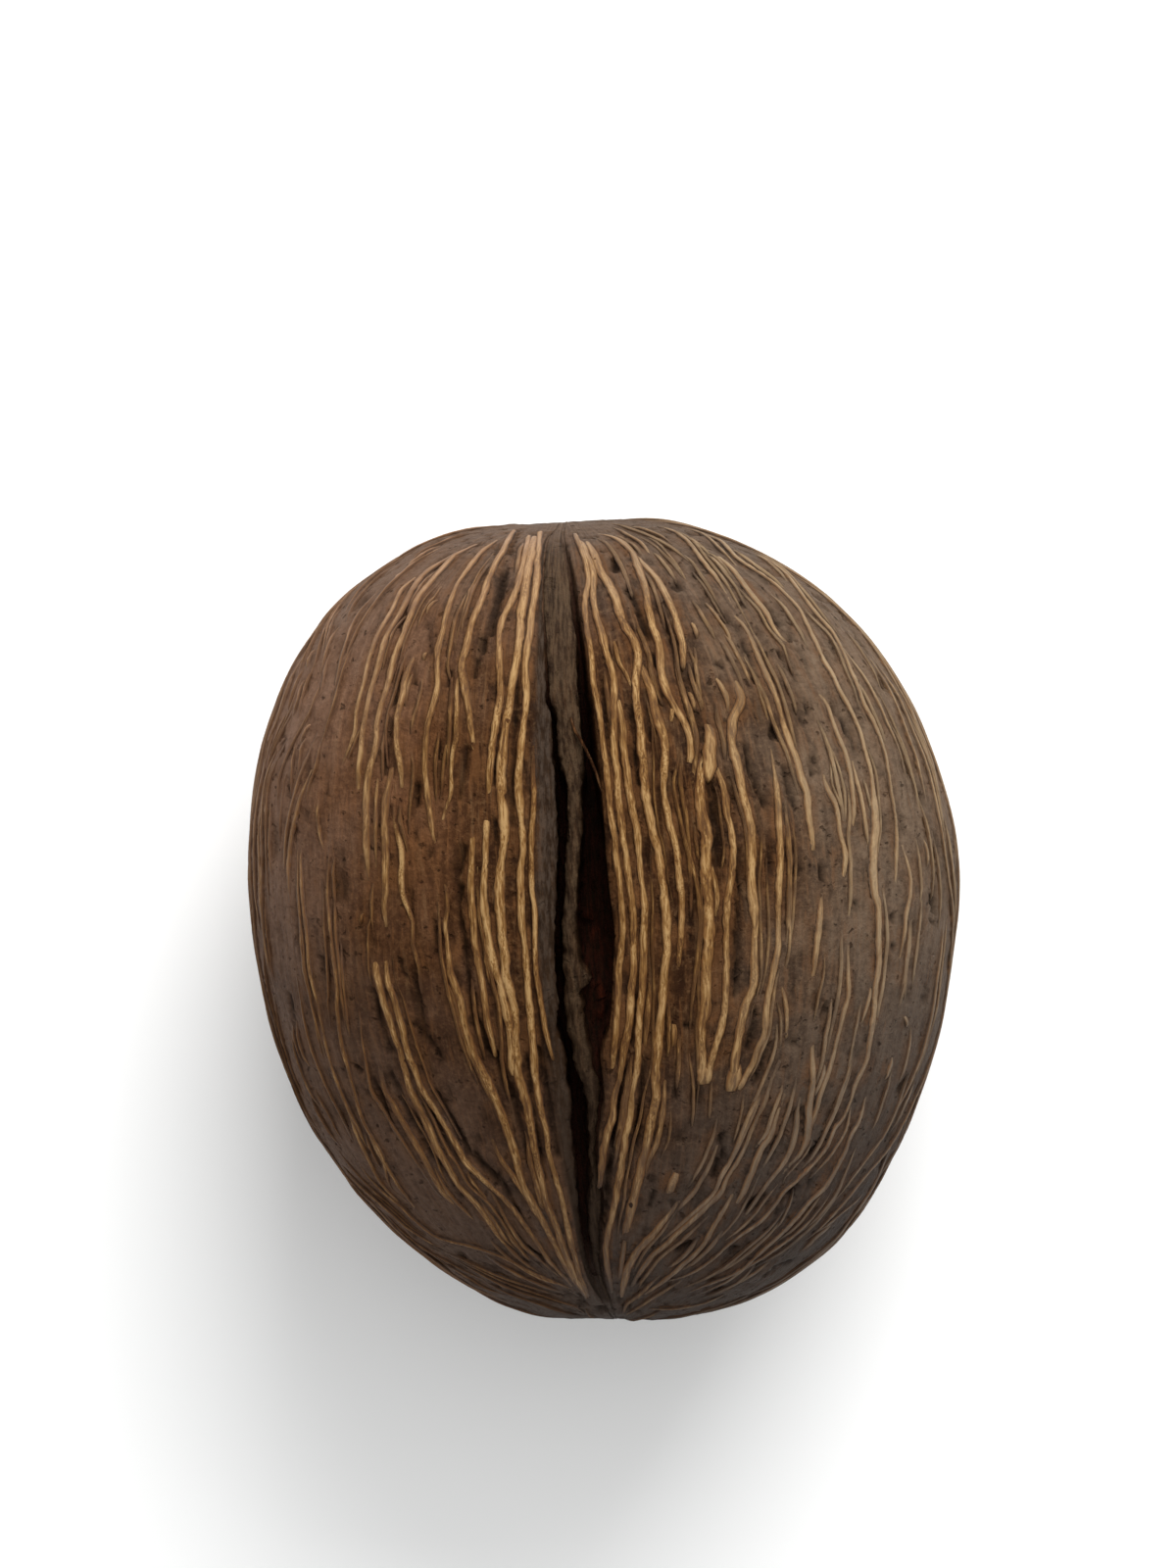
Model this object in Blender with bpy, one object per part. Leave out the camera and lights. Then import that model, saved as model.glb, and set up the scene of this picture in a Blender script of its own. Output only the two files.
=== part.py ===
"""A dry, corky fruit stone of one piece, lying on its back with its furrow facing up.

The long axis lies along Y and the stem end points to -Y. Metres, +Z up; the origin is
under the middle of the stone, on the surface that it rests on.
"""

import math
import random

import bmesh
import bpy
from mathutils import Vector, noise

MM = 0.001

# Driving dimensions of the body, measured from the axis and from its widest plane
TOP_REACH = 36.9 * MM
STEM_REACH = 41.9 * MM
HALF_WIDTH = 34.0 * MM
RIGHT_BULGE = 1.7 * MM
HALF_DEPTH = 29.6 * MM
BACK_BULGE = 1.6 * MM

# How full the outline is: 2 is an ellipse and more is squarer
TOP_FULLNESS = 2.33
TOP_LEFT_GAIN = 0.16
STEM_FULLNESS = 1.98

# The stem end is cut off at a slant, so that it reaches further on the right
STEM_SLANT = 4.2 * MM

# Unevenness of the skin
LUMP_HEIGHT = 0.55 * MM
LUMP_SPAN = 21 * MM
KNOB_HEIGHT = 0.5 * MM
KNOB_ANGLE = 1.55
KNOB_ANGLE_SPREAD = 0.5
KNOB_PLACE = 0.06
KNOB_PLACE_SPREAD = 0.16
DIMPLE_DEPTH = 0.9 * MM
DIMPLE_SPREAD = 0.16

# The flat spot on the back, cut this deep into the body's lowest point
REST_CUT = 0.75 * MM
REST_SMOOTH_FROM = 8 * MM
REST_SMOOTH_TO = 19 * MM

# The axis and the widest plane, seen from the middle of the finished stone
AXIS_X = -1.75 * MM
WIDEST_Y = 2.3 * MM

# Fibres raised as ribs that run from end to end, each with a groove close beside it.
# Distances along the girth are in shares of the spacing from rib to rib.
RIBS = 46
RIB_HEIGHT = 0.45 * MM
GROOVE_DEPTH = 0.45 * MM
RIB_TO_GROOVE = 0.27
RIB_JITTER = 0.16
RIB_WANDER = 0.14
RIB_WANDER_RATES = (5, 9)
RIB_FADING = 0.25
RIB_FADE_RADIUS = 15 * MM
SEED = 7

RINGS = 42

# The furrow at shares of the length from the top end. Across it, in mm from the axis and
# to the right: outer edge of the left lip, left split from and to, right split from and to.
FURROW_ACROSS = (
    (0.00, -0.9, -0.5, -0.3, 0.3, 0.6),
    (0.08, -3.0, -2.5, -2.1, 0.6, 1.7),
    (0.20, -3.9, -2.6, -2.1, 0.2, 1.5),
    (0.30, -4.4, -2.8, -1.8, 0.0, 1.7),
    (0.39, -5.1, -2.8, -1.7, -0.3, 2.3),
    (0.51, -5.5, -3.5, -2.4, -1.2, 2.5),
    (0.65, -5.2, -3.6, -2.6, -1.2, 1.6),
    (0.76, -4.8, -3.5, -2.1, -0.9, 0.2),
    (0.83, -4.6, -3.5, -2.1, -1.4, -0.6),
    (0.90, -3.6, -3.0, -2.1, -1.7, -1.2),
    (0.96, -2.2, -1.9, -1.4, -1.2, -0.9),
    (1.00, -0.9, -0.6, -0.3, 0.0, 0.3),
)

# Depths below the skin at the same shares, in mm: inner edge of the left lip, left split,
# top of the middle wall, right split.
FURROW_DEPTH = (
    (0.00, 0.1, 0.2, 0.1, 0.2),
    (0.08, 0.3, 0.6, 0.2, 1.2),
    (0.20, 0.7, 2.0, 0.5, 3.0),
    (0.30, 0.9, 5.5, 0.9, 7.0),
    (0.39, 1.0, 7.0, 1.2, 9.0),
    (0.51, 1.1, 7.5, 1.8, 9.5),
    (0.65, 1.1, 7.5, 2.2, 8.0),
    (0.76, 1.1, 7.0, 2.3, 4.5),
    (0.83, 1.0, 6.0, 2.0, 3.0),
    (0.90, 0.8, 3.5, 1.4, 1.8),
    (0.96, 0.5, 1.4, 0.7, 0.9),
    (1.00, 0.1, 0.2, 0.1, 0.2),
)
SPLIT_UNDERCUT = 0.5
SPLIT_SLOPE = 0.1
LEAST_STEP = 0.12
LIP_EDGE_DEPTH = 0.05
LIP_ROUNDING = 0.7
LIP_DROP = 0.3
WALL_CROWN = 0.25

# The stone sinks gently towards the furrow on both sides
VALLEY_DEPTH = 0.9 * MM
VALLEY_HALF_WIDTH = 9 * MM


def smooth(value):
    """0 below 0, 1 above 1, with an even start and end."""
    value = min(1.0, max(0.0, value))
    return value * value * (3 - 2 * value)


def read_row(table, share):
    """The table's values at a share of the length, on a smooth curve through its rows."""
    last = len(table) - 2
    index = max(i for i in range(last + 1) if table[i][0] <= share or i == 0)
    before, start = table[max(index - 1, 0)], table[index]
    end, after = table[index + 1], table[min(index + 2, last + 1)]
    step = (share - start[0]) / (end[0] - start[0])
    step = min(1.0, max(0.0, step))
    values = []
    for a, b, c, d in zip(before[1:], start[1:], end[1:], after[1:]):
        bend = 2 * a - 5 * b + 4 * c - d
        twist = 3 * (b - c) + d - a
        values.append(b + 0.5 * step * (c - a + step * (bend + step * twist)))
    return values


def share_of(height):
    """Share of the length from the top end, for a height from 1 at the top to -1."""
    reach = TOP_REACH if height > 0 else STEM_REACH
    return (TOP_REACH - height * reach) / (TOP_REACH + STEM_REACH)


def swell(angle, height):
    """How wide the body is at a height, as a share of its widest plane."""
    fullness = STEM_FULLNESS
    if height > 0:
        fullness = TOP_FULLNESS - TOP_LEFT_GAIN * math.sin(angle)
    return max(0.0, 1 - abs(height) ** fullness) ** (1 / fullness)


def skin_point(angle, height):
    """A point of the smooth stone. The angle is 0 at the furrow and grows to the right."""
    side, front = math.sin(angle), math.cos(angle)
    wide = swell(angle, height)
    reach = TOP_REACH if height > 0 else STEM_REACH
    x = (HALF_WIDTH + RIGHT_BULGE * side) * side * wide
    z = (HALF_DEPTH - BACK_BULGE * front) * front * wide
    slant = STEM_SLANT * side * wide * max(0.0, -height) ** 3
    point = Vector((x, height * reach - slant, z))
    outward = Vector((side * wide, height, front * wide)).normalized()
    lump = LUMP_HEIGHT * noise.noise(point / LUMP_SPAN)
    turned = (angle - KNOB_ANGLE) / KNOB_ANGLE_SPREAD
    moved = (height - KNOB_PLACE) / KNOB_PLACE_SPREAD
    knob = KNOB_HEIGHT * math.exp(-(turned**2) - moved**2)
    valley = VALLEY_DEPTH * math.exp(-((x / VALLEY_HALF_WIDTH) ** 2)) * smooth(front * 3)
    dimple = DIMPLE_DEPTH * math.exp(-((wide / DIMPLE_SPREAD) ** 2))
    return point + outward * (lump + knob - valley * smooth(wide * 2.5) - dimple)


def inward(height):
    """The direction straight into the stone at the furrow."""
    reach = TOP_REACH if height > 0 else STEM_REACH
    front = HALF_DEPTH - BACK_BULGE
    wide = swell(0.0, height)
    return -Vector((0.0, height / reach, wide / front)).normalized()


def angle_at(across, height):
    """The angle at which the furrow's side, that far from the axis, meets the skin."""
    radius = max(swell(0.0, height) * HALF_WIDTH, 1e-6)
    return math.asin(min(0.8, max(-0.8, across / radius)))


def furrow_columns(share):
    """(distance to the right, depth) of each line that runs along the furrow, in metres."""
    lip, left_from, left_to, right_from, right_to = read_row(FURROW_ACROSS, share)
    edge, left_depth, wall_top, right_depth = read_row(FURROW_DEPTH, share)
    left_depth = max(left_depth, edge + LEAST_STEP, wall_top + LEAST_STEP)
    right_depth = max(right_depth, wall_top + LEAST_STEP, LIP_DROP + LEAST_STEP)
    hidden = min(SPLIT_UNDERCUT, 0.3 * (right_to - right_from))
    rounding = min(LIP_ROUNDING, 0.5 * (right_to - lip))
    left_slope = SPLIT_SLOPE * (left_to - left_from)
    right_slope = SPLIT_SLOPE * (right_to - right_from)
    lines = (
        (lip, LIP_EDGE_DEPTH),
        ((lip + left_from) / 2, 0.45 * edge),
        (left_from, edge),
        (left_from + left_slope, left_depth),
        (left_to - left_slope, left_depth),
        (left_to, wall_top),
        ((left_to + right_from) / 2, wall_top - WALL_CROWN * min(1.0, wall_top)),
        (right_from, wall_top),
        (right_from + right_slope, right_depth),
        (right_to + hidden, right_depth),
        (right_to, LIP_DROP * smooth(share * 12) * smooth((1 - share) * 12)),
        (right_to + rounding, 0.0),
    )
    return [(across * MM, depth * MM) for across, depth in lines]


def rib_plan():
    """For each line between the lips: its share of the girth there, whether it is a crest,
    and the phase and rate at which its rib wanders and fades."""
    rng = random.Random(SEED)
    plan = []
    for rib in range(RIBS):
        middle = rib + 0.5 + rng.uniform(-RIB_JITTER, RIB_JITTER)
        phase, rate = rng.uniform(0, math.tau), rng.uniform(*RIB_WANDER_RATES)
        crest_first = rng.random() < 0.5
        for place, crest in ((-0.5, crest_first), (0.5, not crest_first)):
            plan.append(((middle + place * RIB_TO_GROOVE) / RIBS, crest, phase, rate))
    return plan


def rib_relief(point, angle, height, crest, strength):
    """How far a rib's crest stands out of the skin there, or its groove lies in it."""
    radius = swell(angle, height) * HALF_WIDTH
    fade = smooth(radius / RIB_FADE_RADIUS)
    behind = Vector((point.x, point.y)).length if math.cos(angle) < 0 else math.inf
    clear = smooth((behind - REST_SMOOTH_FROM) / (REST_SMOOTH_TO - REST_SMOOTH_FROM))
    return fade * clear * strength * (RIB_HEIGHT if crest else -GROOVE_DEPTH)


def ring_points(height, plan):
    """The points round the stone at one height, from the left lip over the furrow."""
    share = share_of(height)
    into = inward(height)
    points, angles = [], []
    for across, depth in furrow_columns(share):
        angle = angle_at(across, height)
        angles.append(angle)
        points.append(skin_point(angle, height) + into * depth)
    first, last = angles[-1], angles[0] + math.tau
    for place, crest, phase, rate in plan:
        wander = RIB_WANDER / RIBS * math.sin(phase + rate * share)
        strength = 1 - RIB_FADING * (1 + math.sin(2 * phase + rate * share))
        angle = first + (last - first) * (place + wander)
        point = skin_point(angle, height)
        outward = Vector((point.x, 0, point.z)).normalized()
        points.append(point + outward * rib_relief(point, angle, height, crest, strength))
    return points


def to_rest(point, lowest):
    """Moves a point from the axis to the finished stone's place, on its flat spot."""
    floor = lowest + REST_CUT
    return Vector((point.x + AXIS_X, point.y + WIDEST_Y, max(point.z, floor) - floor))


def corky_brown():
    material = bpy.data.materials.new("corky_brown")
    material.use_nodes = True
    shader = material.node_tree.nodes["Principled BSDF"]
    shader.inputs["Base Color"].default_value = (0.098, 0.058, 0.033, 1)
    shader.inputs["Roughness"].default_value = 0.62
    shader.inputs["Metallic"].default_value = 0.0
    return material


def make_stone(collection):
    """A UV sphere whose lines of longitude become the ribs and the furrow's edges."""
    plan = rib_plan()
    columns = len(furrow_columns(0.5)) + len(plan)
    mesh = bmesh.new()
    bmesh.ops.create_uvsphere(mesh, u_segments=columns, v_segments=RINGS, radius=1)
    heights = [math.cos(math.pi * ring / RINGS) for ring in range(RINGS + 1)]
    rings = [ring_points(height, plan) for height in heights[1:-1]]
    ends = {0: skin_point(0.0, heights[0]), RINGS: skin_point(0.0, heights[-1])}
    for vert in mesh.verts:
        ring = round(math.acos(max(-1.0, min(1.0, vert.co.z))) / math.pi * RINGS)
        turn = math.atan2(vert.co.y, vert.co.x) / math.tau
        column = round(turn * columns) % columns
        vert.co = ends[ring] if ring in ends else rings[ring - 1][column]
    lowest = min(vert.co.z for vert in mesh.verts)
    for vert in mesh.verts:
        vert.co = to_rest(vert.co, lowest)
    data = bpy.data.meshes.new("stone")
    mesh.to_mesh(data)
    mesh.free()
    data.materials.append(corky_brown())
    stone = bpy.data.objects.new("stone", data)
    collection.objects.link(stone)
    data.shade_smooth()
    return stone


def main():
    for leftover in list(bpy.data.objects):
        bpy.data.objects.remove(leftover)
    collection = bpy.data.collections.new("fruit_stone")
    bpy.context.scene.collection.children.link(collection)
    make_stone(collection)


main()
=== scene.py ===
"""A dry, corky fruit stone with tan fibres, lying furrow up on a pale floor. Metres, +Z up."""

import math
import random
from types import SimpleNamespace

import bpy
import numpy as np
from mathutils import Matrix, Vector, kdtree, noise


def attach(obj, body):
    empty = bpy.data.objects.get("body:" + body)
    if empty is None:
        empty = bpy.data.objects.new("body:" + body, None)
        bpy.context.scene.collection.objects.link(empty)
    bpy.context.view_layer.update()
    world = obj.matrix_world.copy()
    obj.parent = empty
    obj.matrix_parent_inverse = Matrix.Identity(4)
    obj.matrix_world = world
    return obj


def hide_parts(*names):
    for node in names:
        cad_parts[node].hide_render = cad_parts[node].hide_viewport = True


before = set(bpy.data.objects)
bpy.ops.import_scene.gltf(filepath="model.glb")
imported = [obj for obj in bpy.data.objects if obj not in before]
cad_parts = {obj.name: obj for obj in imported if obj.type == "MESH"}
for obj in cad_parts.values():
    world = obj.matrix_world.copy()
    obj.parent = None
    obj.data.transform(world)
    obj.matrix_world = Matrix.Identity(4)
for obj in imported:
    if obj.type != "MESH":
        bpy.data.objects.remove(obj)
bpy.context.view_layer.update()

MM = 0.001

# The body, measured from the axis and from its widest plane
TOP_REACH = 36.9 * MM
STEM_REACH = 41.9 * MM
HALF_WIDTH = 34.0 * MM
RIGHT_BULGE = 1.7 * MM
HALF_DEPTH = 29.6 * MM
BACK_BULGE = 1.6 * MM
TOP_FULLNESS = 2.33
TOP_LEFT_GAIN = 0.16
STEM_FULLNESS = 1.98
STEM_SLANT = 4.2 * MM
LUMP_HEIGHT = 0.55 * MM
LUMP_SPAN = 21 * MM
KNOB_HEIGHT = 0.5 * MM
KNOB_ANGLE = 1.55
KNOB_ANGLE_SPREAD = 0.5
KNOB_PLACE = 0.06
KNOB_PLACE_SPREAD = 0.16
DIMPLE_DEPTH = 0.9 * MM
DIMPLE_SPREAD = 0.16
VALLEY_DEPTH = 0.9 * MM
VALLEY_HALF_WIDTH = 9 * MM
REST_CUT = 0.75 * MM
REST_SMOOTH_FROM = 8 * MM
REST_SMOOTH_TO = 19 * MM
VALLEY_FACE_FADE = 3
VALLEY_END_FADE = 2.5
BACK_ANGLES = (2.8, 3.5, 40)
BACK_HEIGHTS = (-0.4, 0.4, 40)
LEAST_RADIUS = 1e-6
STEEPEST_SINE = 0.8
AXIS_X = -1.75 * MM
WIDEST_Y = 2.3 * MM

# The furrow down the upper face. Across it, in px at a row of the photo: outer edge of the
# left lip, left split from and to, right split from and to.
FURROW_ACROSS = (
    (541, 564, 565, 567, 573, 576),
    (548, 556, 558, 560, 572, 577),
    (560, 553, 555, 557, 574, 580),
    (590, 550, 553, 555, 580, 588),
    (620, 548, 553, 555, 582, 591),
    (650, 545, 555, 558, 587, 596),
    (690, 542, 556, 560, 588, 601),
    (712, 541, 557, 562, 590, 605),
    (730, 540, 562, 569, 591, 607),
    (770, 537, 563, 570, 594, 611),
    (790, 536, 565, 578, 592, 613),
    (830, 537, 567, 580, 592, 616),
    (870, 539, 568, 578, 590, 618),
    (910, 538, 566, 576, 588, 622),
    (950, 539, 565, 575, 587, 627),
    (985, 542, 566, 575, 592, 626),
    (1003, 544, 566, 577, 602, 625),
    (1016, 545, 568, 577, 591, 625),
    (1030, 546, 570, 577, 594, 624),
    (1050, 548, 567, 579, 596, 622),
    (1062, 549, 570, 582, 599, 618),
    (1078, 551, 575, 586, 602, 613),
    (1095, 552, 577, 587, 604, 615),
    (1112, 554, 579, 595, 611, 617),
    (1130, 558, 583, 600, 612, 617),
    (1150, 562, 582, 602, 609, 613),
    (1170, 565, 583, 602, 607, 611),
    (1190, 570, 585, 603, 609, 613),
    (1210, 575, 587, 604, 611, 615),
    (1230, 580, 589, 602, 613, 617),
    (1250, 585, 591, 602, 612, 616),
    (1270, 589, 593, 603, 612, 616),
    (1290, 594, 597, 606, 612, 616),
    (1310, 601, 603, 611, 615, 618),
    (1328, 612, 614, 619, 622, 624),
)

# Depths below the skin at a row of the photo, in mm: inner edge of the left lip, left split,
# top of the middle wall, right split. The last number is how far the right split's floor
# reaches under its edge, or stops short of it.
FURROW_DEPTH = (
    (541, 0.1, 0.2, 0.1, 0.3, -0.1),
    (560, 0.3, 0.45, 0.25, 0.9, -0.2),
    (590, 0.45, 0.6, 0.4, 1.4, -0.3),
    (620, 0.5, 0.7, 0.45, 2.0, -0.3),
    (650, 0.6, 1.1, 0.5, 3.0, -0.3),
    (690, 0.8, 1.8, 0.7, 5.0, -0.4),
    (712, 0.9, 2.8, 0.8, 6.0, -0.5),
    (730, 0.9, 4.5, 0.9, 7.0, -0.7),
    (770, 1.0, 6.0, 1.0, 8.5, -0.7),
    (800, 1.0, 6.5, 1.1, 9.0, -0.4),
    (850, 1.0, 7.0, 1.3, 9.5, 0.0),
    (900, 1.1, 7.5, 1.6, 9.5, 0.4),
    (950, 1.1, 7.5, 1.8, 9.0, 0.5),
    (985, 1.1, 7.5, 1.9, 6.5, 0.4),
    (1010, 1.1, 7.5, 1.9, 4.8, 0.3),
    (1050, 1.1, 7.0, 1.9, 4.5, 0.1),
    (1078, 1.1, 7.0, 1.9, 3.8, -0.1),
    (1095, 1.0, 7.0, 1.8, 3.0, -0.2),
    (1112, 1.0, 7.0, 1.7, 2.2, -0.2),
    (1150, 1.0, 6.0, 1.5, 1.9, -0.1),
    (1190, 0.9, 5.2, 1.3, 1.6, -0.1),
    (1230, 0.9, 3.8, 1.0, 1.5, -0.1),
    (1270, 0.7, 2.4, 0.8, 1.1, -0.1),
    (1310, 0.4, 1.1, 0.5, 0.7, 0.0),
    (1328, 0.2, 0.5, 0.3, 0.4, 0.0),
)
FURROW_STEP_PX = 4
SPLIT_SLOPE = 0.1
LEAST_STEP = 0.12 * MM
LIP_EDGE_DEPTH = 0.05 * MM
LIP_ROUNDING = 0.7 * MM
LIP_DROP = 0.3 * MM
WALL_CROWN = 0.25

# How finely the husk follows each stretch between the furrow's lines, and what lies at each
# line: lip, split or middle wall.
FURROW_CUTS = (3, 3, 6, 3, 6, 3, 3, 7, 5, 7, 3)
FURROW_ZONES = (
    (0, 0, 0),
    (1, 0, 0),
    (1, 0, 0),
    (0, 1, 0),
    (0, 1, 0),
    (0, 0, 1),
    (0, 0, 1),
    (0, 0, 1),
    (0, 1, 0),
    (0, 1, 0),
    (0, 0, 0),
    (0, 0, 0),
)

# The husk's mesh
HUSK_RINGS = 270
SKIN_COLUMNS = 296
BACK_THINNING = 0.65

# The view: the photo's size, the furrow's two ends in it, and its scale at the outline
PHOTO_WIDTH = 1200
PHOTO_HEIGHT = 1600
TOP_END_PX = (575, 536)
STEM_END_PX = (628, 1338)
MM_PER_PX = 0.0954
OUTLINE_LEVEL = 29 * MM
VIEW_OVER = (-1.0 * MM, 13.3 * MM)
VIEW_HEIGHT = 950 * MM
SENSOR = 36.0
VIEW_ROLL = math.atan2(STEM_END_PX[0] - TOP_END_PX[0], STEM_END_PX[1] - TOP_END_PX[1])
LENS_PX = (VIEW_HEIGHT - OUTLINE_LEVEL) / (MM_PER_PX * MM)

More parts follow.
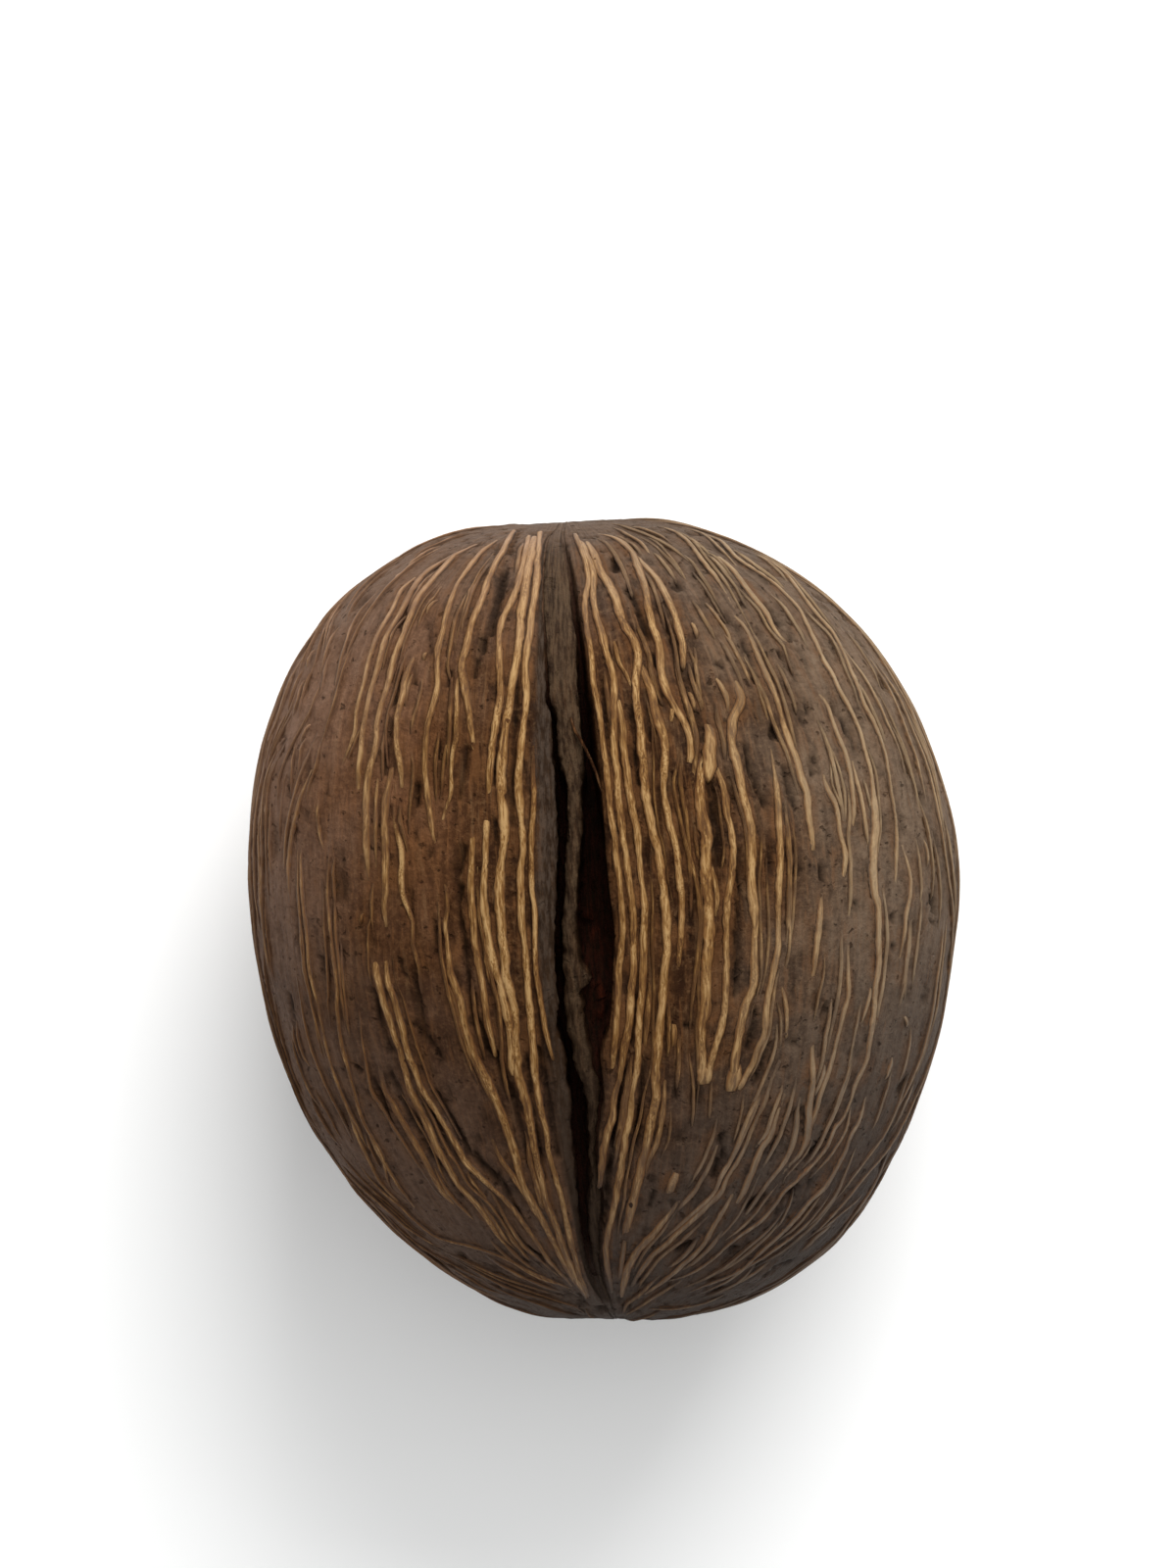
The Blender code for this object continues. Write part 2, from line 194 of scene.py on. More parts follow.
# Fibres of the upper face: width in px, tone at the start and at the end, and the route in px
FACE_FIBRES = (
    # left of the furrow
    (7, 1.0, 0.9, ((552, 540), (549, 570), (547, 600), (540, 650), (536, 695), (537, 715),
        (532, 762), (530, 805), (534, 865), (532, 890), (534, 945), (540, 1020), (544, 1065),
        (547, 1105), (552, 1127), (557, 1152))),
    (6, 0.9, 0.4, ((556, 1148), (561, 1177), (567, 1200), (574, 1225), (584, 1270), (595, 1310),
        (604, 1332))),
    (9, 0.9, 1.0, ((546, 545), (540, 580), (535, 612), (531, 637), (529, 662), (525, 687),
        (517, 737), (512, 787), (512, 802), (515, 850), (510, 895), (510, 920), (512, 945),
        (517, 992), (525, 1032), (527, 1077), (530, 1097), (535, 1117), (540, 1140), (545, 1165))),
    (7, 0.8, 0.35, ((544, 1162), (549, 1187), (554, 1207), (557, 1227), (565, 1245), (582, 1290),
        (602, 1332))),
    (7, 0.7, 0.8, ((541, 542), (532, 585), (524, 610), (515, 630), (510, 648), (510, 665),
        (511, 710), (507, 732), (501, 782), (499, 818))),
    (8, 1.0, 0.9, ((497, 833), (496, 860), (495, 925), (499, 955), (505, 985), (517, 1027),
        (522, 1060), (523, 1085), (527, 1105))),
    (5, 0.5, 0.5, ((536, 1150), (541, 1180), (546, 1200), (552, 1228), (558, 1245))),
    (5, 0.4, 0.6, ((544, 758), (544, 790), (545, 812), (544, 832), (541, 893))),
    (5, 0.9, 0.7, ((542, 902), (546, 930), (547, 985), (550, 1007), (557, 1047), (562, 1070),
        (566, 1085))),
    (7, 0.8, 0.6, ((527, 539), (515, 560), (505, 577), (494, 605), (486, 625), (480, 645),
        (475, 665), (472, 685), (476, 705), (479, 728), (482, 750), (487, 778))),
    (5, 0.6, 0.5, ((471, 680), (467, 700), (466, 725), (466, 750), (465, 774))),
    (7, 0.7, 0.7, ((484, 832), (482, 870), (481, 907), (484, 940), (485, 965), (490, 990),
        (497, 1035), (502, 1062), (506, 1082))),
    (8, 0.5, 0.9, ((461, 995), (470, 1020), (475, 1045), (482, 1070), (490, 1087), (507, 1122),
        (514, 1140), (520, 1157), (531, 1195), (537, 1215), (545, 1230), (555, 1245))),
    (6, 0.5, 0.3, ((552, 1240), (566, 1268), (580, 1295), (598, 1327))),
    (5, 0.95, 0.6, ((462, 770), (461, 790), (460, 810), (454, 827), (450, 843))),
    (6, 0.5, 0.8, ((512, 547), (490, 567), (477, 582), (467, 597), (461, 612), (456, 630),
        (453, 645), (450, 661))),
    (6, 0.6, 0.7, ((447, 668), (447, 700), (442, 722), (437, 740), (435, 765), (434, 785),
        (436, 805), (442, 850), (447, 868))),
    (7, 0.4, 0.9, ((500, 548), (485, 556), (467, 566), (455, 577), (440, 595), (425, 615),
        (412, 650), (402, 675), (397, 695), (391, 715), (386, 737), (385, 755), (381, 775),
        (376, 795))),
    (8, 0.9, 0.7, ((377, 790), (375, 812), (375, 845), (375, 877), (374, 903))),
    (7, 0.6, 0.8, ((428, 655), (416, 687), (412, 705), (407, 730), (406, 750), (407, 765),
        (410, 785), (410, 808))),
    (6, 0.7, 0.7, ((430, 582), (422, 591), (410, 605), (400, 625), (386, 650), (377, 675),
        (372, 697), (365, 725), (362, 750), (357, 775), (352, 792))),
    (7, 0.5, 0.8, ((470, 560), (437, 583), (422, 602), (410, 625), (397, 645), (390, 670),
        (384, 690), (377, 715), (372, 742), (369, 770), (367, 795), (366, 815))),
    (4, 0.6, 0.5, ((385, 785), (385, 810), (385, 840), (384, 870), (383, 892))),
    (8, 0.7, 0.6, ((400, 780), (397, 800), (394, 827), (394, 895), (392, 925), (394, 950))),
    (7, 0.7, 0.8, ((393, 970), (397, 1000), (404, 1020), (410, 1045), (416, 1070), (424, 1090),
        (432, 1110), (450, 1142), (467, 1170), (477, 1185), (487, 1196), (500, 1208))),
    (5, 0.6, 0.3, ((498, 1206), (515, 1222), (530, 1240), (545, 1262), (565, 1290), (590, 1320))),
    (8, 0.8, 0.8, ((382, 970), (386, 995), (394, 1025), (400, 1047), (408, 1070), (414, 1092),
        (420, 1112), (437, 1147), (447, 1170), (457, 1187), (467, 1207), (480, 1221), (492, 1235),
        (502, 1250), (513, 1264))),
    (4, 0.5, 0.3, ((510, 1260), (527, 1279), (545, 1295), (570, 1312))),
    (7, 0.4, 0.7, ((385, 1075), (392, 1110), (402, 1127), (412, 1145), (422, 1160), (432, 1177),
        (442, 1197), (452, 1215), (462, 1227), (473, 1239))),
    (7, 0.95, 0.8, ((410, 866), (410, 895), (411, 915), (414, 935), (418, 951))),
    (5, 0.5, 0.4, ((421, 940), (422, 965), (427, 985), (432, 1018))),
    (5, 0.4, 0.3, ((403, 795), (403, 835), (402, 865))),
    (5, 0.75, 0.5, ((453, 896), (457, 925), (455, 945), (458, 970), (463, 992))),
    (4, 0.5, 0.5, ((318, 736), (312, 748), (306, 761))),
    (5, 0.6, 0.5, ((319, 782), (311, 802), (305, 825), (301, 842), (296, 867), (295, 895),
        (297, 932))),
    (5, 0.5, 0.6, ((306, 850), (307, 880), (309, 907), (312, 935), (315, 960), (317, 985),
        (322, 1010), (327, 1035), (332, 1057), (338, 1080), (345, 1102), (355, 1127), (365, 1150),
        (377, 1181))),
    (5, 0.5, 0.5, ((342, 980), (346, 1010), (346, 1025), (349, 1055), (354, 1080), (364, 1120),
        (372, 1145), (382, 1162), (392, 1180), (401, 1199))),
    (3, 0.4, 0.3, ((337, 843), (336, 870), (335, 910), (337, 972))),
    (5, 0.4, 0.6, ((325, 812), (325, 835), (327, 855), (331, 873))),
    (4, 0.45, 0.4, ((271, 795), (269, 840), (269, 895), (271, 945), (273, 985), (277, 1015))),
    (3, 0.35, 0.3, ((278, 805), (276, 857), (278, 905))),
    (4, 0.4, 0.4, ((297, 1043), (304, 1080), (310, 1097), (322, 1120), (336, 1142))),
    (4, 0.5, 0.4, ((302, 1038), (306, 1060), (312, 1077), (320, 1094))),
    (3, 0.5, 0.4, ((358, 1175), (370, 1190), (380, 1202), (395, 1217), (410, 1230), (421, 1243))),
    (3, 0.45, 0.4, ((398, 1210), (410, 1222), (421, 1233))),
    (3, 0.45, 0.3, ((338, 1176), (355, 1195), (375, 1212), (405, 1242), (425, 1257), (445, 1271),
        (466, 1277))),
    (6, 0.5, 0.6, ((499, 1155), (510, 1180), (522, 1197), (535, 1217), (547, 1237), (561, 1260))),
    (4, 0.4, 0.3, ((488, 1200), (502, 1217), (512, 1235), (522, 1252), (535, 1270), (552, 1285),
        (576, 1309))),
    (5, 0.4, 0.6, ((486, 1220), (505, 1245), (515, 1260), (528, 1278))),
    (4, 0.3, 0.3, ((423, 1243), (448, 1262), (480, 1270), (515, 1282), (540, 1295), (565, 1307),
        (594, 1326))),
    (3, 0.3, 0.25, ((438, 1271), (480, 1289), (520, 1304), (560, 1319), (594, 1331))),
    (4, 0.4, 0.3, ((347, 636), (337, 658), (328, 682))),
    (3, 0.35, 0.3, ((366, 592), (350, 617), (334, 650), (322, 678))),
    # right of the furrow
    (6, 0.7, 0.7, ((584, 540), (594, 562), (600, 587), (598, 610), (597, 625), (601, 650),
        (604, 675), (606, 700), (611, 725), (617, 775), (620, 802), (622, 825), (626, 850),
        (629, 875), (632, 900), (634, 920), (635, 945), (634, 970), (631, 995), (629, 1045),
        (627, 1070), (624, 1100))),
    (7, 0.75, 0.55, ((590, 548), (604, 580), (605, 605), (609, 630), (615, 650), (620, 670),
        (625, 690), (627, 715), (626, 765), (629, 790), (631, 812), (635, 850), (639, 875),
        (642, 900), (645, 925), (646, 950), (646, 990), (642, 1030), (640, 1055), (635, 1080),
        (632, 1100), (627, 1120), (625, 1140), (619, 1160), (615, 1177), (613, 1199), (611, 1216))),
    (7, 0.9, 0.9, ((629, 708), (635, 740), (636, 762), (640, 790), (643, 812), (650, 850),
        (652, 875), (657, 920), (657, 945), (656, 995), (652, 1045), (650, 1090), (645, 1115),
        (642, 1140), (637, 1165), (634, 1187), (630, 1210), (626, 1232))),
    (6, 0.5, 0.3, ((627, 1228), (622, 1250), (619, 1265), (619, 1285), (622, 1305), (626, 1324))),
    (8, 0.6, 1.0, ((597, 548), (610, 577), (622, 600), (630, 617), (637, 637), (646, 655),
        (651, 672), (649, 695), (650, 720), (654, 745), (655, 770), (659, 812), (665, 845),
        (671, 867), (674, 895), (677, 915), (680, 945), (680, 970), (677, 995), (676, 1020),
        (672, 1065))),
    (9, 0.9, 0.5, ((672, 1060), (669, 1100), (669, 1120), (665, 1140), (662, 1157), (657, 1177),
        (650, 1205), (645, 1227), (640, 1250), (636, 1275))),
    (5, 0.3, 0.25, ((639, 1252), (636, 1272), (634, 1292), (633, 1314))),
    (4, 0.7, 0.8, ((626, 648), (631, 675), (640, 690), (646, 704))),
    (8, 0.7, 0.8, ((651, 670), (660, 695), (665, 710), (669, 730), (676, 750), (679, 770),
        (683, 795), (681, 812))),
    (7, 1.2, 1.0, ((676, 800), (678, 815), (682, 832), (687, 857), (691, 880), (694, 905),
        (695, 925))),
    (6, 0.7, 0.5, ((695, 920), (694, 957), (692, 982), (691, 1010))),
    (6, 0.5, 0.5, ((688, 1042), (687, 1072))),
    (6, 0.6, 0.6, ((679, 1095), (677, 1122), (675, 1140), (670, 1165), (662, 1182), (655, 1212))),
    (7, 0.5, 1.0, ((598, 542), (617, 546), (630, 552), (645, 566), (650, 577), (657, 597),
        (661, 620), (665, 640), (670, 652), (674, 670), (675, 687), (681, 707), (687, 720),
        (695, 735), (702, 750), (704, 765), (702, 782))),
    (5, 0.9, 0.7, ((686, 719), (684, 740))),
    (7, 0.6, 0.9, ((644, 561), (660, 580), (675, 600), (685, 622), (692, 642), (696, 660),
        (698, 684))),
    (4, 0.5, 0.4, ((702, 703), (706, 715), (710, 727))),
    (14, 0.5, 0.7, ((722, 735), (724, 750), (724, 768), (723, 786), (722, 800))),
    (11, 0.5, 0.8, ((722, 752), (719, 770), (715, 785), (714, 807), (716, 827), (720, 852),
        (720, 880), (722, 920), (724, 945), (722, 970), (720, 995), (720, 1020), (719, 1033))),
    (7, 0.6, 1.0, ((727, 768), (733, 790), (738, 808), (741, 830), (746, 855), (747, 875),
        (744, 902), (741, 925), (741, 975), (740, 1000), (739, 1025), (736, 1045), (730, 1067),
        (724, 1087), (719, 1109))),
    (8, 0.8, 0.8, ((716, 1046), (716, 1070), (716, 1090), (717, 1110))),
    (5, 0.6, 0.6, ((723, 873), (729, 900), (731, 920), (728, 944))),
    (5, 0.5, 0.6, ((735, 640), (747, 660), (756, 677), (766, 697))),
    (9, 0.6, 1.0, ((742, 679), (752, 700), (755, 717), (748, 735), (746, 755), (751, 775),
        (755, 795), (758, 812), (762, 827), (766, 850), (767, 900), (769, 925), (770, 955),
        (769, 980), (767, 1005), (765, 1027), (762, 1044))),
    (9, 0.7, 0.8, ((757, 1036), (754, 1055), (750, 1075), (747, 1095), (742, 1117))),
    (5, 0.5, 0.7, ((787, 758), (790, 787), (793, 820))),
    (7, 0.8, 1.0, ((793, 815), (795, 855), (795, 882), (794, 907), (794, 960), (789, 985),
        (784, 1010), (781, 1032), (779, 1055), (772, 1072), (767, 1087), (760, 1100), (751, 1115))),
    (6, 0.4, 0.6, ((738, 612), (745, 625), (757, 637), (765, 652), (775, 677), (784, 695),
        (791, 712), (797, 732), (803, 750))),
    (9, 0.7, 0.8, ((801, 745), (805, 757), (812, 777), (817, 795), (822, 812), (824, 830),
        (827, 848), (831, 872))),
    (7, 0.5, 0.7, ((839, 905), (836, 935), (831, 970), (829, 995), (825, 1015))),
    (6, 0.4, 0.7, ((700, 537), (715, 543), (730, 551), (750, 570), (780, 590), (800, 607),
        (815, 622), (824, 640), (832, 657), (840, 675), (849, 690), (855, 705), (865, 722),
        (877, 745), (882, 765), (887, 785), (889, 805), (892, 827), (893, 850))),
    (11, 0.8, 0.8, ((892, 838), (890, 865), (890, 890), (892, 912), (896, 935))),
    (8, 0.9, 0.7, ((895, 925), (896, 960), (896, 985), (892, 1010), (891, 1032), (887, 1055),
        (884, 1077), (880, 1090), (872, 1107), (867, 1125))),
    (5, 0.7, 0.5, ((868, 1122), (860, 1140), (850, 1152), (842, 1170), (830, 1185), (815, 1202),
        (800, 1215), (787, 1232), (772, 1247), (757, 1259))),
    (5, 0.6, 0.8, ((870, 772), (875, 802), (879, 825), (883, 850), (889, 870))),
    (6, 0.7, 0.8, ((868, 797), (870, 830), (869, 852))),
    (5, 0.8, 0.6, ((891, 1003), (882, 1030), (878, 1049))),
    (6, 0.6, 0.7, ((767, 560), (790, 577), (802, 592), (817, 612), (830, 627), (840, 637),
        (852, 647), (860, 662), (867, 685), (875, 705), (880, 720), (890, 737), (895, 755),
        (901, 770))),
    (4, 0.5, 0.4, ((901, 765), (905, 787), (908, 812), (912, 840), (915, 862))),
    (6, 0.9, 0.7, ((914, 862), (914, 887), (914, 912))),
    (7, 0.5, 0.6, ((718, 559), (730, 565), (750, 587), (767, 610), (780, 625), (790, 642),
        (806, 659))),
    (6, 0.5, 0.5, ((827, 693), (835, 707), (841, 724))),
    (6, 0.5, 0.5, ((844, 720), (850, 740), (856, 757), (862, 772), (867, 792))),
    (7, 0.6, 0.7, ((840, 782), (843, 802), (852, 825), (857, 850), (861, 875), (859, 907))),
    (6, 0.5, 0.7, ((866, 957), (865, 990), (864, 1015), (859, 1035), (855, 1055), (850, 1075),
        (844, 1095), (837, 1112), (830, 1137), (821, 1168))),
    (8, 0.6, 0.5, ((830, 1058), (829, 1080), (827, 1110), (824, 1140), (822, 1160), (815, 1177),
        (805, 1190), (795, 1202))),
    (6, 0.6, 0.8, ((919, 858), (926, 880), (929, 895), (928, 912), (922, 932), (921, 955),
        (918, 984))),
    (4, 0.5, 0.4, ((878, 658), (895, 680), (902, 695), (910, 715), (920, 737), (930, 765),
        (937, 790), (945, 810), (950, 834))),
    (4, 0.4, 0.5, ((888, 662), (905, 697), (917, 715), (930, 742), (942, 775), (950, 805),
        (955, 830), (961, 860), (964, 885), (966, 935))),
    (4, 0.4, 0.4, ((855, 650), (865, 668), (880, 692), (890, 710), (905, 742), (920, 770),
        (928, 802))),
    (5, 0.5, 0.6, ((966, 930), (960, 962), (955, 985), (951, 1010), (950, 1035), (945, 1060),
        (937, 1077), (930, 1102), (917, 1127), (909, 1147))),
    (4, 0.4, 0.5, ((970, 935), (969, 980), (965, 1020), (958, 1050), (952, 1070), (942, 1097),
        (927, 1130), (915, 1155), (900, 1180), (885, 1195), (870, 1212), (850, 1237), (835, 1255),
        (811, 1273))),
    (4, 0.5, 0.4, ((942, 853), (946, 889))),
    (4, 0.4, 0.4, ((887, 1213), (865, 1230), (847, 1247), (826, 1264))),
    (6, 0.6, 0.6, ((886, 1108), (877, 1140), (867, 1157), (860, 1177), (850, 1195), (840, 1210),
        (825, 1225), (807, 1247), (792, 1262))),
    (5, 0.5, 0.3, ((794, 1260), (775, 1277), (755, 1295), (735, 1310), (700, 1326))),
    (4, 0.5, 0.5, ((871, 1122), (862, 1152), (850, 1172), (837, 1190), (825, 1206))),
    (4, 0.4, 0.3, ((853, 1200), (845, 1220), (827, 1242), (805, 1262), (780, 1280), (750, 1297),
        (715, 1312), (680, 1328))),
    (5, 0.5, 0.7, ((797, 1003), (802, 1035), (803, 1063))),
    (7, 0.5, 0.7, ((803, 1112), (792, 1137), (785, 1157), (777, 1170), (770, 1185), (762, 1205),
        (755, 1220), (746, 1240))),
    (6, 0.4, 0.5, ((773, 1138), (762, 1165), (752, 1185), (742, 1200), (735, 1215), (722, 1228),
        (702, 1247))),
    (6, 0.5, 0.3, ((704, 1245), (682, 1265), (665, 1280), (650, 1302), (640, 1322))),
    (6, 0.7, 0.4, ((752, 1211), (740, 1230), (730, 1246), (715, 1270), (690, 1295), (665, 1315),
        (646, 1330))),
    (6, 0.3, 0.4, ((798, 1080), (787, 1105), (780, 1125), (771, 1147))),
    (9, 0.75, 0.35, ((693, 1194), (688, 1201), (684, 1211), (680, 1221))),
    (8, 0.5, 0.6, ((697, 1223), (682, 1240), (667, 1257), (652, 1272), (642, 1290), (636, 1310),
        (634, 1328))),
    (4, 0.5, 0.4, ((622, 536), (640, 547), (655, 557), (668, 573))),
    (3, 0.4, 0.3, ((640, 536), (670, 547), (692, 559))),
    (5, 0.4, 0.5, ((665, 533), (697, 550), (715, 572), (730, 590), (738, 602), (751, 624))),
    (4, 0.4, 0.4, ((690, 535), (715, 547), (740, 567), (761, 586))),
    (4, 0.5, 0.5, ((718, 612), (730, 630), (740, 645), (750, 664))),
    (4, 0.45, 0.4, ((704, 633), (713, 652))),
    (5, 0.5, 0.5, ((729, 688), (740, 712), (743, 732))),
    (5, 0.45, 0.55, ((342, 1110), (357, 1137), (365, 1157), (380, 1187), (390, 1205), (405, 1225),
        (422, 1245))),
    (5, 0.55, 0.6, ((367, 1137), (380, 1162), (395, 1187), (405, 1205), (415, 1220), (427, 1240))),
    (4, 0.4, 0.4, ((750, 1262), (725, 1285), (697, 1302), (665, 1312))),
    (4, 0.4, 0.4, ((750, 1317), (710, 1330), (650, 1337))),
    (5, 0.4, 0.4, ((490, 1257), (522, 1285), (547, 1300), (572, 1310), (590, 1320))),
    (5, 0.4, 0.4, ((455, 556), (440, 562), (425, 572), (410, 583))),
    (4, 0.5, 0.4, ((450, 610), (440, 620), (435, 630))),
    (4, 0.5, 0.4, ((436, 665), (432, 675))),
    (5, 0.5, 0.5, ((322, 660), (312, 685))),
    (4, 0.5, 0.4, ((332, 675), (324, 690))),
    (4, 0.4, 0.4, ((297, 750), (287, 775))),
    (4, 0.4, 0.4, ((280, 770), (272, 800))),
    (5, 0.5, 0.4, ((348, 782), (342, 795))),
    (5, 0.5, 0.5, ((269, 795), (266, 845), (267, 895), (270, 945), (275, 985), (282, 1020))),
    (13, 0.9, 0.95, ((716, 1082), (717, 1096), (717, 1110))),
    (14, 0.8, 0.9, ((752, 1082), (748, 1100), (745, 1118))),
    (3, 0.4, 0.4, ((370, 930), (367, 945))),
    (4, 0.45, 0.4, ((922, 1035), (925, 1050))),
    (8, 0.5, 0.4, ((914, 1067), (905, 1085))),
    (5, 0.4, 0.4, ((912, 1075), (905, 1090), (902, 1105))),
)

# Grooves, cracks and pits of the upper face, sunk into the husk and painted dark as shade: width in
# px, depth in mm, and the route in px
FACE_GROOVES = (
    (7, 0.5, ((528, 541), (524, 553), (520, 565))),
    (12, 0.7, ((513, 583), (509, 605), (504, 625), (500, 645))),
    (10, 0.6, ((494, 650), (492, 663))),
    (6, 0.4, ((487, 673), (484, 690))),
    (8, 0.4, ((459, 684), (458, 698))),
    (8, 0.5, ((457, 567), (449, 572), (442, 579))),
    (7, 0.5, ((422, 611), (414, 622), (407, 637))),
    (5, 0.4, ((424, 680), (422, 697))),
    (6, 0.4, ((404, 690), (402, 717))),
    (7, 0.5, ((399, 736), (395, 760), (392, 788))),
    (6, 0.4, ((448, 754), (446, 772))),
    (8, 0.5, ((476, 762), (473, 785), (469, 812))),
    (9, 0.7, ((424, 800), (424, 820))),
    (5, 0.4, ((440, 867), (439, 873))),
    (10, 0.8, ((473, 866), (468, 888))),
    (9, 0.8, ((470, 905), (468, 920))),
    (6, 0.6, ((468, 925), (473, 960), (476, 985), (479, 1005), (482, 1025), (485, 1045))),
    (6, 0.5, ((491, 1048), (495, 1062), (500, 1078))),
    (6, 0.4, ((303, 905), (303, 930), (305, 950), (308, 970))),
    (7, 0.4, ((330, 978), (333, 996))),
    (5, 0.4, ((444, 938), (446, 962))),
    (4, 0.3, ((408, 980), (412, 990), (417, 997))),
    (7, 0.5, ((381, 1010), (386, 1030), (391, 1050), (399, 1072))),
    (4, 0.3, ((417, 1044), (432, 1054), (445, 1070), (450, 1082))),
    (4, 0.3, ((295, 1015), (300, 1037), (305, 1060))),
    (5, 0.4, ((527, 695), (526, 730), (524, 765), (523, 800), (521, 840))),
    (5, 0.4, ((505, 838), (506, 860))),
    (4, 0.3, ((508, 692), (507, 715))),
    (4, 0.3, ((503, 770), (505, 800))),
    (11, 0.5, ((628, 572), (628, 582))),
    (9, 0.5, ((640, 600), (647, 612), (652, 628))),
    (8, 0.5, ((655, 635), (662, 650))),
    (6, 0.4, ((665, 665), (672, 680))),
    (8, 0.6, ((675, 618), (683, 642), (691, 665), (697, 690), (702, 712), (709, 733), (716, 752))),
    (5, 0.4, ((614, 695), (617, 720), (620, 750))),
    (5, 0.4, ((643, 715), (646, 745), (649, 775), (652, 800))),
    (5, 0.4, ((662, 725), (665, 755))),
    (8, 0.5, ((781, 619), (788, 627), (795, 636))),
    (4, 0.3, ((805, 628), (807, 652))),
    (4, 0.4, ((795, 665), (805, 680), (810, 690), (814, 702), (817, 712), (825, 718))),
    (7, 0.4, ((824, 718), (824, 727))),
    (5, 0.4, ((757, 655), (765, 675), (772, 697))),
    (9, 0.4, ((738, 631), (743, 633))),
    (6, 0.3, ((731, 677), (736, 679))),
    (9, 0.5, ((790, 742), (789, 750))),
    (4, 0.3, ((850, 722), (858, 735), (865, 748))),
    (4, 0.3, ((873, 722), (882, 745))),
    (5, 0.4, ((889, 772), (895, 790))),
    (8, 0.6, ((762, 763), (766, 785), (773, 805), (781, 820))),
    (8, 0.5, ((802, 785), (806, 805), (811, 822))),
    (6, 0.4, ((829, 775), (829, 790))),
    (6, 0.5, ((741, 785), (744, 800), (746, 815))),
    (11, 0.7, ((727, 800), (728, 825), (731, 850), (733, 880))),
    (4, 0.3, ((826, 590), (842, 608), (860, 630), (876, 652), (892, 676))),
    (6, 0.7, ((753, 868), (755, 890), (755, 920), (753, 950), (752, 985), (750, 1015))),
    (5, 0.4, ((706, 910), (706, 935), (705, 960))),
    (6, 0.4, ((700, 1047), (704, 1048))),
    (5, 0.6, ((647, 1020), (646, 1045), (643, 1065))),
    (8, 0.5, ((770, 1032), (769, 1050), (764, 1068))),
    (10, 0.5, ((811, 890), (817, 886))),
    (6, 0.5, ((838, 886), (840, 897))),
    (6, 0.4, ((802, 875), (806, 867))),
    (6, 0.4, ((872, 925), (876, 921))),
    (6, 0.3, ((909, 932), (911, 937))),
    (6, 0.5, ((953, 905), (953, 922), (952, 938))),
    (5, 0.4, ((953, 865), (957, 880), (960, 895))),
    (5, 0.4, ((857, 808), (858, 835))),
    (5, 0.3, ((785, 868), (784, 887))),
    (3, 0.3, ((905, 982), (912, 965))),
    (3, 0.3, ((851, 1015), (851, 1035), (845, 1050), (838, 1050))),
    (5, 0.4, ((400, 1097), (410, 1122), (425, 1152), (440, 1177), (455, 1195), (470, 1220))),
    (4, 0.3, ((382, 1102), (392, 1130), (402, 1152))),
    (4, 0.3, ((428, 1115), (442, 1140), (459, 1170), (469, 1184))),
    (6, 0.5, ((445, 1115), (462, 1147), (480, 1177), (500, 1195), (507, 1201))),
    (3, 0.3, ((362, 1152), (370, 1165), (375, 1175))),
    (5, 0.3, ((364, 1088), (369, 1092))),
    (4, 0.3, ((379, 1114), (381, 1120))),
    (8, 0.9, ((551, 1072), (555, 1095), (560, 1120), (564, 1150), (569, 1180))),
    (4, 0.5, ((538, 1080), (541, 1110), (545, 1140), (550, 1170), (555, 1200))),
    (9, 0.5, ((505, 1075), (513, 1095), (520, 1112), (527, 1130))),
    (6, 0.5, ((524, 1122), (530, 1145), (537, 1170), (543, 1190))),
    (10, 0.5, ((485, 1178), (497, 1193), (507, 1205))),
    (5, 0.4, ((509, 1195), (517, 1215), (527, 1235), (535, 1250))),
    (4, 0.3, ((515, 1250), (535, 1268), (555, 1285))),
    (6, 0.8, ((636, 1095), (633, 1120), (628, 1150), (624, 1180), (620, 1205), (618, 1235),
        (616, 1255))),
    (4, 0.5, ((657, 1080), (655, 1110), (652, 1140), (647, 1170), (640, 1200))),
    (4, 0.3, ((690, 1085), (690, 1120))),
    (7, 0.6, ((545, 908), (556, 910))),
    (6, 0.4, ((736, 1160), (738, 1180))),
    (10, 0.6, ((733, 1186), (730, 1200))),
    (4, 0.3, ((668, 1215), (663, 1230))),
    (9, 0.4, ((692, 1275), (706, 1268))),
    (14, 0.5, ((766, 1232), (777, 1220))),
    (6, 0.4, ((806, 1130), (801, 1150), (791, 1165), (787, 1180))),
    (7, 0.5, ((852, 1140), (843, 1155), (833, 1170), (822, 1182))),
    (6, 0.4, ((783, 1065), (779, 1085), (770, 1105))),
    (4, 0.4, ((815, 1212), (800, 1224), (790, 1232))),
    (5, 0.3, ((908, 1150), (907, 1162))),
    (5, 0.3, ((811, 1286), (791, 1293))),
)

# Reddish tissue left in the right split: width in px, height in mm, and the route in px
FURROW_TISSUE = (
    (10, 1.2, ((594, 928), (599, 938))),
    (5, 0.8, ((607, 955), (612, 968))),
    (4, 0.7, ((619, 976), (620, 981))),
    (7, 1.0, ((612, 1010), (616, 1026), (613, 1044))),
)


def smooth(value):
    """0 below 0, 1 above 1, with an even start and end."""
    value = np.clip(value, 0.0, 1.0)
    return value * value * (3 - 2 * value)


def grain(points, span, start=0.0):
    """Noise from about -1 to 1 at each point, with humps about a span across."""
    places = np.asarray(points, float).reshape(-1, 3) / span + start
    return np.array([noise.noise(place) for place in places.tolist()])


def grain_along(along, span, across, key):
    """Noise from about -1 to 1 along a fibre, with humps about a span long."""
    return grain(np.stack([along / span, 0 * along + across, 0 * along + key], axis=-1), 1.0)


def tree_of(places):
    """A search tree over places, numbered in their order."""
    tree = kdtree.KDTree(len(places))
    for index, place in enumerate(places):
        tree.insert(place, index)
    tree.balance()
    return tree


